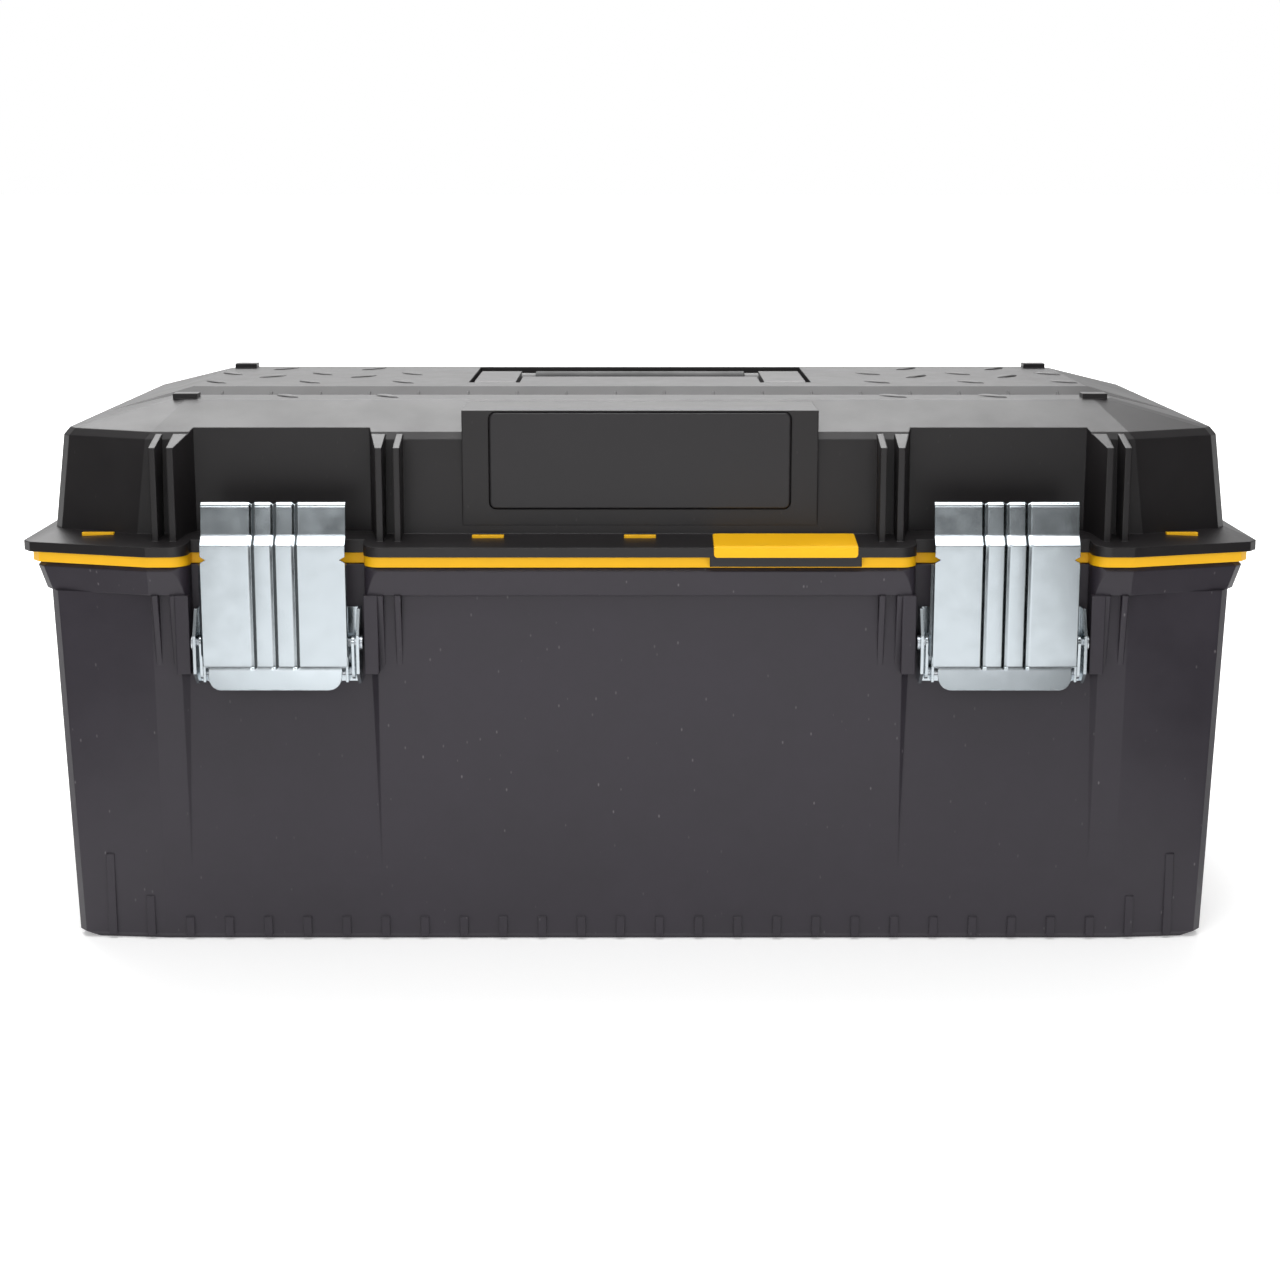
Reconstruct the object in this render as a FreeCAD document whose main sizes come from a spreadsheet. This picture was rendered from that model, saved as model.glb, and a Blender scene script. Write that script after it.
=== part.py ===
import FreeCAD
import Part
import Sketcher
import os

# A moulded tool box: a tub, a hipped lid with a seal, two draw latches, a flush carrying handle and a tray.
# Frame: X to the right, Y to the back, Z up, origin under the middle of the base. Lengths in millimetres.
# Fronts and backs are given as distances from the middle plane, so a front stands at minus its value.

SIZES = [
    # Fits
    ("cut_over", 6, "how far a cut runs past the face it opens"),
    ("seat_gap", 0.3, "gap between resting pieces that can part"),
    ("run_gap", 0.1, "radial running clearance on a pin"),
    # Ends, along X
    ("flange_half_length", 292, "half length of the lid flange"),
    ("corner_run", 62, "length along X of the swept corners of flange, rim and tub"),
    ("tub_inset_low", 18, "how far the base stands in from the flange's ends"),
    ("tub_inset_top", 12, "how far the tub under its rim stands in from them"),
    ("rim_inset", 6, "how far the rim band stands in from them"),
    ("seal_inset", 3.5, "how far the seal stands in from them"),
    ("lid_inset_low", 8.5, "how far the lid wall at the flange stands in from them"),
    ("lid_inset_top", 14, "how far the lid's shoulder stands in from them"),
    ("crown_inset", 60, "how far the flat top stands in from them"),
    ("plug_inset", 34.5, "how far the seal plugs by the corners stand in from them"),
    ("tray_inset", 30, "how far the tray at rest stands in from the left one"),
    # Tub
    ("wall", 4.5, "tub wall"),
    ("floor", 5, "tub floor"),
    ("tub_height", 172.6, "height of the tub wall under its rim"),
    ("tub_front_low", 136, "front of the base"),
    ("tub_back_low", 129, "back of the base"),
    ("corner_set_low", 3, "how far the corners stand back at the base"),
    ("tub_front_top", 142, "front under the rim"),
    ("tub_back_top", 135, "back under the rim"),
    ("corner_set_top", 10, "how far the corners stand back under the rim"),
    ("corner_cut", 4, "cut of the upright corner edges, seen from above"),
    ("foot_cut_length", 6, "how far the foot's lower edge is cut back at the ends"),
    ("foot_cut_depth", 2, "how far it is cut back at front and back"),
    ("foot_cut_height", 3, "height of that cut"),
    ("foot_border", 26, "width of the standing border under the base"),
    ("foot_recess", 2, "depth of the panel inside that border"),
    ("rim_front", 148, "front of the rim band"),
    ("rim_back", 141, "back of the rim band"),
    ("rim_set", 16, "how far the rim's corners stand back"),
    ("rim_band", 11.8, "height of the rim band"),
    ("rim_taper", 3, "how much narrower the rim is at its lower edge"),
    ("rim_bevel", 1.7, "bevel on the rim's upper edge"),
    ("foot_rib_pitch", 19, "spacing of the small ribs round the foot"),
    ("foot_rib_width", 4, "width of a foot rib"),
    ("foot_rib_height", 9.5, "height of a foot rib"),
    ("foot_rib_tall", 20, "height of the last but one foot rib"),
    ("foot_rib_tallest", 41, "height of the foot rib by the corner"),
    ("foot_rib_proud", 1.2, "how far a foot rib stands out"),
    ("foot_rib_lift", 2, "height of a foot rib above the base"),
    # Latch place in the tub
    ("latch_x", 170.5, "middle of a latch"),
    ("recess_floor", 137.2, "face of the tub recess behind a latch"),
    ("recess_half_width", 42, "half width of the recess at the rim"),
    ("recess_half_width_low", 46.5, "half width of the recess where it runs out"),
    ("recess_foot", 18, "height at which the recess runs out"),
    ("backing_drop", 22, "how far under the bracket pin the wall behind a latch turns upright"),
    ("notch_half_width", 41, "half width of the gap in rim and flange at a latch"),
    ("notch_round", 8, "rounding of that gap's mouth"),
    ("pad_width", 6.5, "width of the pads beside a latch"),
    ("pad_drop", 15, "how far those pads reach under the bracket pin"),
    ("pad_front", 146.5, "front of those pads"),
    ("rib_near", 48.6, "first rib, from the middle of a latch"),
    ("rib_far", 56.9, "second rib, from the middle of a latch"),
    ("rib_width", 3, "width of a rib"),
    ("gusset_low", 141, "lower end of the gussets under the rim"),
    ("gusset_front", 146, "front of a gusset at the rim"),
    # Tray ledges
    ("ledge_height", 122, "top of the tray ledges"),
    ("ledge_edge_front", 123, "inner edge of the front ledge"),
    ("ledge_edge_back", 116, "inner edge of the back ledge"),
    # Lid
    ("lid_wall", 5, "lid wall"),
    ("seal_height", 5.2, "height of the seal under the flange"),
    ("flange_front", 150, "front of the lid flange"),
    ("flange_set", 17, "how far the flange's corners stand back"),
    ("flange_thick", 4.6, "height of the flange's edge"),
    ("flange_rise", 2.6, "rise of the flange's top towards the wall"),
    ("lid_corner", 44, "length along X of the lid's swept corners"),
    ("lid_front_low", 128, "front of the lid wall at the flange"),
    ("lid_front_top", 124, "front of the lid at the shoulder"),
    ("lid_set", 17.5, "how far the lid's corners stand back"),
    ("shoulder", 246, "height of the lid's shoulder"),
    ("crown", 258.4, "height of the lid's flat top"),
    ("crown_half_depth", 86, "half depth of the flat top"),
    ("crown_corner", 10, "length along X of the flat top's corners"),
    ("shoulder_cut", 2.5, "bevel along the lid's shoulder"),
    ("lid_rib_front", 140, "front of the lid's ribs"),
    ("lid_rib_drop", 4.5, "how far a rib slopes down from the shoulder to its front"),
    ("pocket_floor", 117, "face of the lid pocket above a latch"),
    ("pocket_half_width", 42, "half width of that pocket"),
    ("pocket_slant", 5, "how far the pocket's sides slant out to the ribs' fronts"),
    ("notch_floor", 136.8, "face of the flange's gap at a latch"),
    ("groove_front", 65, "front edge of the V groove"),
    ("groove_back", 22, "back edge of the V groove"),
    ("groove_floor", 3, "width of the groove's floor"),
    ("groove_depth", 10, "depth of the groove"),
    ("boss_half_width", 84, "half width of the centre boss"),
    ("boss_front", 127.2, "face of the centre boss"),
    ("boss_low", 203, "lower end of the boss"),
    ("boss_top", 257.6, "top of the boss"),
    ("boss_back", 89, "where the boss's top meets the roof"),
    ("lug_inset", 9, "middle of a stacking lug, from the flat top's end"),
    ("lug_set", 2, "how far a stacking lug stands back from the flat top's edge"),
    ("lug_length", 12, "length of a stacking lug"),
    ("lug_depth", 8, "depth of a stacking lug"),
    ("lug_height", 2.6, "height of a stacking lug"),
    # Seal, pad and name plate
    ("seal_front", 147.5, "front of the seal"),
    ("seal_set", 16.5, "how far the seal's corners stand back"),
    ("seal_width", 15, "width of the seal"),
    ("seal_notch_gap", 0.8, "how far the seal stands behind the flange at a latch"),
    ("plug_length", 15, "length of a seal plug in the flange"),
    ("plug_width", 2.2, "width of a seal plug"),
    ("plug_front", 134.5, "front of a seal plug"),
    ("plug_proud", 0.6, "how far a seal plug stands over the flange's top"),
    ("plug_x", 71.7, "place of the plug left of the middle"),
    ("pad_x", 67.8, "middle of the lift pad"),
    ("pad_half_length", 33.5, "half length of the lift pad"),
    ("pad_back", 130, "back edge of the lift pad"),
    ("pad_thick", 1, "thickness of the lift pad"),
    ("tab_drop", 4.4, "drop of the lid tab below the lift pad"),
    ("tab_thick", 2, "thickness of that tab"),
    ("tab_margin", 1.8, "how much longer the tab is than the pad at each end"),
    ("plate_half_length", 71, "half length of the name plate"),
    ("plate_low", 211, "lower edge of the name plate"),
    ("plate_high", 256.6, "upper edge of the name plate"),
    ("plate_thick", 2.4, "thickness of the name plate"),
    ("plate_proud", 0.8, "how far the name plate stands out of the boss"),
    ("plate_gap", 0.4, "gap round the name plate"),
    ("plate_corner", 3, "corner radius of the name plate"),
    # Handle
    ("arm_inner", 66, "inner face of a handle arm"),
    ("arm_outer", 88, "outer face of a handle arm"),
    ("arm_radius", 8, "radius of an arm's pivot end"),
    ("handle_y", 6, "handle pivot, behind the middle"),
    ("handle_sink", 0.2, "how far the folded handle lies under the flat top"),
    ("handle_pin_radius", 3, "radius of a handle pin"),
    ("handle_pin_hold", 4, "length of a handle pin in the lid"),
    ("grip_y", 60, "grip of the folded handle, behind the middle"),
    ("grip_radius", 11, "radius of the grip"),
    ("grip_core_radius", 7.5, "radius of the bar in the grip"),
    ("grip_half_length", 58, "half length of the grip sleeve"),
    ("collar_radius", 10, "radius of the bar's collars"),
    ("slot_gap", 2.5, "gap beside an arm"),
    ("slot_front", 3.5, "front of the arm slots, before the middle"),
    ("slot_depth", 23, "depth of the arm slots"),
    ("well_back", 82, "back of the handle well"),
    ("land_back", 28, "back of the land between the arms"),
    ("well_depth", 38, "depth of the hand well"),
    # Back hinges
    ("hinge_x", 170, "middle of a hinge"),
    ("barrel_radius", 6, "radius of a hinge knuckle"),
    ("hinge_gap", 1, "gap between a knuckle and the edge beside it"),
    ("hinge_pin_radius", 2.5, "radius of a hinge pin"),
    ("knuckle_width", 26, "width of a hinge knuckle"),
    ("knuckle_gap", 0.5, "gap between two knuckles"),
    # Latches
    ("sheet_thick", 1.2, "thickness of the latch plate"),
    ("bracket_thick", 1.5, "thickness of the latch bracket"),
    ("bracket_half_width", 39, "half width of the bracket over its ears"),
    ("bracket_drop", 20, "how far the bracket reaches under its pin"),
    ("bracket_rise", 16, "how far the bracket reaches over its pin"),
    ("ear_front", 150, "front of the ears"),
    ("ear_chamfer", 6, "corner cut of the ears"),
    ("pivot_y", 144.5, "bracket pin"),
    ("pivot_height", 150, "height of the bracket pin"),
    ("latch_pin_radius", 2, "radius of the latch pins"),
    ("pin_head_radius", 3.5, "radius of the bracket pin's heads"),
    ("pin_head_thick", 1.2, "thickness of the bracket pin's heads"),
    ("link_drop", 14, "drop from the bracket pin to the plate's pin"),
    ("link_over_centre", 0.8, "how far the plate's pin lies behind the bracket pin"),
    ("link_radius", 3.6, "radius of the links' ends"),
    ("link_inner", 35, "inner face of a link"),
    ("link_thick", 1.4, "thickness of a link"),
    ("rivet_x", 24, "rivet, from the middle of a latch"),
    ("rivet_rise", 9, "height of the rivets over the bracket pin"),
    ("rivet_radius", 2.4, "radius of a rivet's shank"),
    ("rivet_head_radius", 4.5, "radius of a rivet's heads"),
    ("rivet_head_thick", 1.4, "thickness of a rivet's heads"),
    ("latch_half_width", 34, "half width of the latch plate"),
    ("latch_front", 152.5, "front of the latch plate"),
    ("latch_step", 4.4, "how far the plate's upper part stands back"),
    ("latch_top", 215.5, "top of the latch plate"),
    ("latch_roll", 4, "depth of the plate's rolled top edge"),
    ("latch_step_low", 198.5, "lower end of the plate's step"),
    ("bend_drop", 10, "how far the bend above the lip lies under the bracket pin"),
    ("lip_drop", 12, "height of the lip under that bend"),
    ("lip_reach", 3, "how far the lip stands out"),
    ("lip_half_width", 31, "half width of the lip"),
    ("lip_corner", 6, "corner radius of the lip"),
    ("press_pitch", 10, "spacing of the pressed grooves"),
    ("press_width", 2.2, "width of a pressed groove"),
    ("press_depth", 0.5, "depth of a pressed groove"),
    ("latch_flange_depth", 3.4, "depth of the plate's bent side edges"),
    ("latch_flange_drop", 7, "how far those edges reach under the bracket pin"),
    ("latch_flange_high", 196, "upper end of those edges"),
    # Tray
    ("tray_wall", 2.6, "tray wall"),
    ("tray_length", 252, "length of the tray"),
    ("tray_front", 128, "front of the tray"),
    ("tray_back", 121, "back of the tray"),
    ("tray_height", 46, "height of the tray's walls"),
    ("tray_corner", 16, "corner radius of the tray"),
    ("tray_cell_corner", 8, "corner radius of the tray's cells"),
    ("tray_grip_height", 76, "height of the tray's carrying wall"),
    ("tray_grip_half_length", 70, "half length of the raised part of that wall"),
    ("tray_hole_half_length", 46, "half length of the finger hole"),
    ("tray_hole_height", 20, "height of the finger hole"),
    ("tray_bar", 8, "bar left above the finger hole"),
]

# Shares of the tray's length taken by the front cells, up to the partition between them
FRONT_CELL_SHARE = 0.5

LEFT, RIGHT = -1, 1
SIDES = (("left", LEFT), ("right", RIGHT))
FOOT_RIBS = 12
PRESSED_GROOVES = (-1, 0, 1)
TUB_KNUCKLES = (-1, 1)
LID_KNUCKLES = (0,)


class Size:
    """A length with its number and the sheet expression that it comes from."""

    def __init__(self, number, text):
        self.number = number
        self.text = text

    def join(self, sign, other, number):
        text = other.text if isinstance(other, Size) else repr(other)
        return Size(number, f"({self.text} {sign} {text})")

    def __add__(self, other):
        return self.join("+", other, self.number + number_of(other))

    def __sub__(self, other):
        return self.join("-", other, self.number - number_of(other))

    def __mul__(self, factor):
        return self.join("*", factor, self.number * number_of(factor))

    def __truediv__(self, divisor):
        return self.join("/", divisor, self.number / number_of(divisor))

    def __neg__(self):
        return self * -1


class Sheet:
    """The driving dimensions as named sizes, kept in a spreadsheet of the document."""

    def __init__(self, document):
        cells = document.addObject("Spreadsheet::Sheet", "Sizes")
        for row, (alias, number, meaning) in enumerate(SIZES, start=1):
            cells.set(f"A{row}", meaning)
            cells.set(f"B{row}", str(number))
            cells.setAlias(f"B{row}", alias)
            setattr(self, alias, Size(number, f"Sizes.{alias}"))


def number_of(value):
    return value.number if isinstance(value, Size) else value


doc = FreeCAD.newDocument("ToolBox")
d = Sheet(doc)
doc.recompute()
NOTHING = d.cut_over * 0
SUB_PARTS = []

# Ends along X, measured from the middle
CORNER_BEND = d.flange_half_length - d.corner_run
TUB_END_LOW = d.flange_half_length - d.tub_inset_low
TUB_END_TOP = d.flange_half_length - d.tub_inset_top
RIM_END = d.flange_half_length - d.rim_inset
SEAL_END = d.flange_half_length - d.seal_inset
LID_END_LOW = d.flange_half_length - d.lid_inset_low
LID_END_TOP = d.flange_half_length - d.lid_inset_top
CROWN_END = d.flange_half_length - d.crown_inset
PLUG_END = d.flange_half_length - d.plug_inset

# Levels and places that several pieces share
RIM_TOP = d.tub_height + d.rim_band + d.rim_bevel
SEAL_LOW = RIM_TOP + d.seat_gap
FLANGE_LOW = SEAL_LOW + d.seal_height
FLANGE_EDGE = FLANGE_LOW + d.flange_thick
FLANGE_TOP = FLANGE_EDGE + d.flange_rise
LATCH_REACH = d.latch_front + d.lip_reach
HINGE_Y = LATCH_REACH - d.barrel_radius
HINGE_Z = SEAL_LOW + d.seal_height / 2
FLANGE_BACK = HINGE_Y - d.barrel_radius - d.hinge_gap
LEVER_Y = d.pivot_y - d.link_over_centre
LEVER_Z = d.pivot_height - d.link_drop
BRACKET_LOW = d.pivot_height - d.bracket_drop
BRACKET_TOP = d.pivot_height + d.bracket_rise
RIVET_Z = d.pivot_height + d.rivet_rise
LATCH_BEND = d.pivot_height - d.bend_drop
LATCH_LOW = LATCH_BEND - d.lip_drop
HANDLE_TOP = d.crown - d.handle_sink
HANDLE_Z = HANDLE_TOP - d.arm_radius
GRIP_Z = HANDLE_TOP - d.grip_radius
TRAY_LOW = d.ledge_height + d.seat_gap


def bind(thing, name, value):
    """Set a property to a size and tie it to the sheet."""
    if isinstance(value, Size):
        thing.setExpression(name, value.text)


def place(thing, x, y, z):
    for axis, value in zip("xyz", (x, y, z)):
        bind(thing, f"Placement.Base.{axis}", value)


def box(name, xs, ys, zs):
    """A block between two values on each axis."""
    solid = doc.addObject("Part::Box", name)
    for side, (low, high) in zip(("Length", "Width", "Height"), (xs, ys, zs)):
        bind(solid, side, high - low)
    place(solid, xs[0], ys[0], zs[0])
    return solid


def rod_x(name, xs, y, z, radius):
    """A round bar along X."""
    solid = doc.addObject("Part::Cylinder", name)
    bind(solid, "Radius", radius)
    bind(solid, "Height", xs[1] - xs[0])
    solid.Placement.Rotation = FreeCAD.Rotation(FreeCAD.Vector(0, 1, 0), 90)
    place(solid, xs[0], y, z)
    return solid


def rod_y(name, x, ys, z, radius):
    """A round bar along Y."""
    solid = doc.addObject("Part::Cylinder", name)
    bind(solid, "Radius", radius)
    bind(solid, "Height", ys[1] - ys[0])
    solid.Placement.Rotation = FreeCAD.Rotation(FreeCAD.Vector(1, 0, 0), -90)
    place(solid, x, ys[0], z)
    return solid


def rod_z(name, x, y, zs, radius):
    """A round bar along Z."""
    solid = doc.addObject("Part::Cylinder", name)
    bind(solid, "Radius", radius)
    bind(solid, "Height", zs[1] - zs[0])
    place(solid, x, y, zs[0])
    return solid


def outline(body, plane_role, offset, points):
    """A closed straight-sided sketch, each corner tied to the sheet."""
    sketch = body.newObject("Sketcher::SketchObject", "Outline")
    plane = next(item for item in body.Origin.OriginFeatures if item.Role == plane_role)
    sketch.AttachmentSupport = [(plane, "")]
    sketch.MapMode = "FlatFace"
    bind(sketch, "AttachmentOffset.Base.z", offset)
    corners = [FreeCAD.Vector(number_of(x), number_of(y), 0) for x, y in points]
    following = corners[1:] + corners[:1]
    sketch.addGeometry([Part.LineSegment(*ends) for ends in zip(corners, following)], False)
    count = len(corners)
    for index in range(count):
        sketch.addConstraint(Sketcher.Constraint("Coincident", index, 2, (index + 1) % count, 1))
    for index, corner in enumerate(points):
        for kind, value in zip(("DistanceX", "DistanceY"), corner):
            tie = sketch.addConstraint(Sketcher.Constraint(kind, -1, 1, index, 1, number_of(value)))
            sketch.setExpression(f"Constraints[{tie}]", value.text)
    return sketch


def prism(name, plane_role, low, high, points):
    """An outline on a plane across X or Z, drawn out from low to high."""
    body = doc.addObject("PartDesign::Body", name)
    pad = body.newObject("PartDesign::Pad", "Pad")
    pad.Profile = outline(body, plane_role, low, points)
    bind(pad, "Length", high - low)
    body.Tip = pad
    return body


def prism_x(name, xs, points):
    """A profile of (y, z) corners drawn along X."""
    return prism(name, "YZ_Plane", xs[0], xs[1], points)


def prism_z(name, zs, points):
    """A plan of (x, y) corners drawn along Z."""
    return prism(name, "XY_Plane", zs[0], zs[1], points)


def loft(name, sections):
    """A flat-sided form through plans at their heights."""
    body = doc.addObject("PartDesign::Body", name)
    plans = [outline(body, "XY_Plane", height, points) for height, points in sections]
    form = body.newObject("PartDesign::AdditiveLoft", "Loft")
    form.Profile = (plans[0], [""])
    form.Sections = plans[1:]
    form.Ruled = True
    body.Tip = form
    return body


def fuse(name, *solids):
    whole = doc.addObject("Part::MultiFuse", name)
    whole.Shapes = list(solids)
    whole.Refine = True
    return whole


def cut(name, base, *tools):
    rest = doc.addObject("Part::Cut", name)
    rest.Base = base
    rest.Tool = tools[0] if len(tools) == 1 else fuse(f"{name}Tools", *tools)
    rest.Refine = True
    return rest


def common(name, first, second):
    shared = doc.addObject("Part::Common", name)
    shared.Base = first
    shared.Tool = second
    shared.Refine = True
    return shared


def along(axis):
    """A chooser of the edges that run along an axis."""
    def chosen(first, last):
        return first.sub(last).cross(axis).Length < Part.Precision.confusion()
    return chosen


def rounded(name, solid, radius, chosen):
    """The solid with those edges rounded that the chooser picks by their ends."""
    clean = doc.addObject("Part::Refine", f"{name}Clean")
    clean.Source = solid
    doc.recompute()
    round_off = doc.addObject("Part::Fillet", name)
    round_off.Base = clean
    edges = []
    for index, edge in enumerate(clean.Shape.Edges, start=1):
        if chosen(*(vertex.Point for vertex in edge.Vertexes)):
            edges.append((index, number_of(radius), number_of(radius)))
    round_off.Edges = edges
    return round_off


def group(name, *solids):
    """Like pieces that share one node."""
    pieces = doc.addObject("Part::Compound", name)
    pieces.Links = list(solids)
    return pieces


def keep(label, shape):
    shape.Label = label
    SUB_PARTS.append(shape)


def about(middle, half):
    return middle - half, middle + half


def swept_plan(half_length, front, back, bend, setback):
    """A plan with straight sides that stand back towards the corners, which are cut."""
    turn = half_length - d.corner_cut
    turned = setback * ((turn - bend) / (half_length - bend))
    side = setback + d.corner_cut
    right_front = [(bend, -front), (turn, turned - front), (half_length, side - front)]
    right_back = [(half_length, back - side), (turn, back - turned), (bend, back)]
    right = right_front + right_back
    return right + [(-x, y) for x, y in reversed(right)]


def tub_plan_low(inset):
    return swept_plan(TUB_END_LOW - inset, d.tub_front_low - inset, d.tub_back_low - inset,
                      CORNER_BEND, d.corner_set_low)


def tub_plan_foot():
    return swept_plan(TUB_END_LOW - d.foot_cut_length, d.tub_front_low - d.foot_cut_depth,
                      d.tub_back_low - d.foot_cut_depth, CORNER_BEND, d.corner_set_low)


def tub_plan_top(inset):
    return swept_plan(TUB_END_TOP - inset, d.tub_front_top - inset, d.tub_back_top - inset,
                      CORNER_BEND, d.corner_set_top)


def rim_plan(inset):
    return swept_plan(RIM_END - inset, d.rim_front - inset, d.rim_back - inset,
                      CORNER_BEND, d.rim_set)


def flange_plan():
    return swept_plan(d.flange_half_length, d.flange_front, FLANGE_BACK, CORNER_BEND, d.flange_set)


def seal_plan(inset):
    back = FLANGE_BACK - d.flange_front + d.seal_front
    return swept_plan(SEAL_END - inset, d.seal_front - inset, back - inset,
                      CORNER_BEND, d.seal_set)


def lid_plan(half_length, half_depth, corner, inset):
    """A plan of the lid, whose swept corners all run the same way."""
    setback = d.lid_set * (corner / d.lid_corner)
    depth = half_depth - inset
    return swept_plan(half_length - inset, depth, depth, half_length - inset - corner, setback)


def lid_plan_low(inset):
    return lid_plan(LID_END_LOW, d.lid_front_low, d.lid_corner, inset)


def lid_plan_top(inset):
    return lid_plan(LID_END_TOP, d.lid_front_top, d.lid_corner, inset)


def crown_plan(inset):
    return lid_plan(CROWN_END, d.crown_half_depth, d.crown_corner, inset)


def latch_gap(name, middle, front, floor, zs):
    """The block that opens rim, flange or seal at a latch back to its floor, with a rounded mouth."""
    half = d.notch_half_width
    radius = d.notch_round
    wide = about(middle, half + radius)
    outside = -front - d.cut_over
    gap = box(f"{name}Block", about(middle, half), (outside, -floor), zs)
    mouth = box(f"{name}Mouth", wide, (outside, radius - front), zs)
    posts = [rod_z(f"{name}Post", x, radius - front, zs, radius) for x in wide]
    return fuse(name, gap, cut(f"{name}Flare", mouth, *posts))


def wall_behind_latch(middle):
    """The wall set inwards behind a latch, upright where the bracket is riveted on."""
    inner = d.recess_floor - d.wall
    outer = d.tub_front_top - d.wall / 2
    profile = [(-d.tub_front_low, d.recess_foot), (-inner, d.pivot_height - d.backing_drop),
               (-inner, RIM_TOP), (-outer, RIM_TOP)]
    return prism_x("WallBehindLatch", about(middle, d.recess_half_width_low + d.wall), profile)


def latch_recess(middle):
    """The shallow panel under a latch, which runs out towards the foot."""
    far = d.rim_front + d.cut_over
    slant = far - d.recess_floor

    def plan(half_width):
        wide = half_width + slant
        return [(middle - half_width, -d.recess_floor), (middle - wide, -far),
                (middle + wide, -far), (middle + half_width, -d.recess_floor)]

    return loft("LatchRecess", [(d.recess_foot, plan(d.recess_half_width_low)),
                                (d.tub_height, plan(d.recess_half_width))])


def latch_pads(middle):
    """The two upright pads that stand beside a latch."""
    inner = d.notch_half_width
    outer = inner + d.pad_width
    depth = (-d.pad_front, d.wall - d.tub_front_top)
    heights = (d.pivot_height - d.pad_drop, d.tub_height)
    return [box("LatchPad", (middle - outer, middle - inner), depth, heights),
            box("LatchPad", (middle + inner, middle + outer), depth, heights)]


def rib_places(middle):
    """The middles of the two rib pairs that flank a latch."""
    return [middle - d.rib_far, middle - d.rib_near, middle + d.rib_near, middle + d.rib_far]


def rim_gussets(middle):
    """The tapered gussets under the rim, below the lid's ribs."""
    root = d.tub_front_top - d.wall
    profile = [(-root, d.gusset_low), (-d.gusset_front, d.tub_height), (-root, d.tub_height)]
    return [prism_x("RimGusset", about(x, d.rib_width / 2), profile) for x in rib_places(middle)]


def foot_ribs():
    """The row of small upright ribs along the foot, at front and back."""
    ribs = []
    heights = [d.foot_rib_height] * FOOT_RIBS + [d.foot_rib_tall, d.foot_rib_tallest]
    for number, height in enumerate(heights):
        x = d.foot_rib_pitch * (number + 0.5)
        past_bend = max(0, number_of(x - CORNER_BEND))
        corner = number_of(TUB_END_LOW - CORNER_BEND)
        set_back = d.corner_set_low * (past_bend / corner)
        front = d.tub_front_low + d.foot_rib_proud - set_back
        back = d.tub_back_low + d.foot_rib_proud - set_back
        levels = (d.foot_rib_lift, d.foot_rib_lift + height)
        for side in (LEFT, RIGHT):
            width = about(x * side, d.foot_rib_width / 2)
            ribs.append(box("FootRib", width, (-front, d.wall - front), levels))
            ribs.append(box("FootRib", width, (back - d.wall, back), levels))
    return ribs


def tray_ledges():
    """The two ledges that carry the tray."""
    length = about(NOTHING, CORNER_BEND)
    top = d.ledge_height
    front_root = d.tub_front_low + d.wall / 2
    front_low = top - (front_root - d.ledge_edge_front)
    back_root = d.tub_back_low + d.wall / 2
    back_low = top - (back_root - d.ledge_edge_back)
    front = [(-d.ledge_edge_front, top), (-front_root, top), (-front_root, front_low)]
    back = [(d.ledge_edge_back, top), (back_root, back_low), (back_root, top)]
    return [prism_x("FrontLedge", length, front), prism_x("BackLedge", length, back)]


def knuckle_span(middle, step):
    pitch = d.knuckle_width + d.knuckle_gap
    return about(middle + pitch * step, d.knuckle_width / 2)


def knuckles(middle, steps, root, levels):
    """Hinge knuckles, each with the web that joins it to its edge."""
    solids = []
    for step in steps:
        span = knuckle_span(middle, step)
        solids.append(rod_x("Barrel", span, HINGE_Y, HINGE_Z, d.barrel_radius))
        solids.append(box("Web", span, (root, HINGE_Y), levels))
    return solids


def hinge_length(middle):
    first = knuckle_span(middle, TUB_KNUCKLES[0])
    last = knuckle_span(middle, TUB_KNUCKLES[-1])
    return first[0], last[1]


def rivet_places(middle):
    return [middle - d.rivet_x, middle + d.rivet_x]


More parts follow.
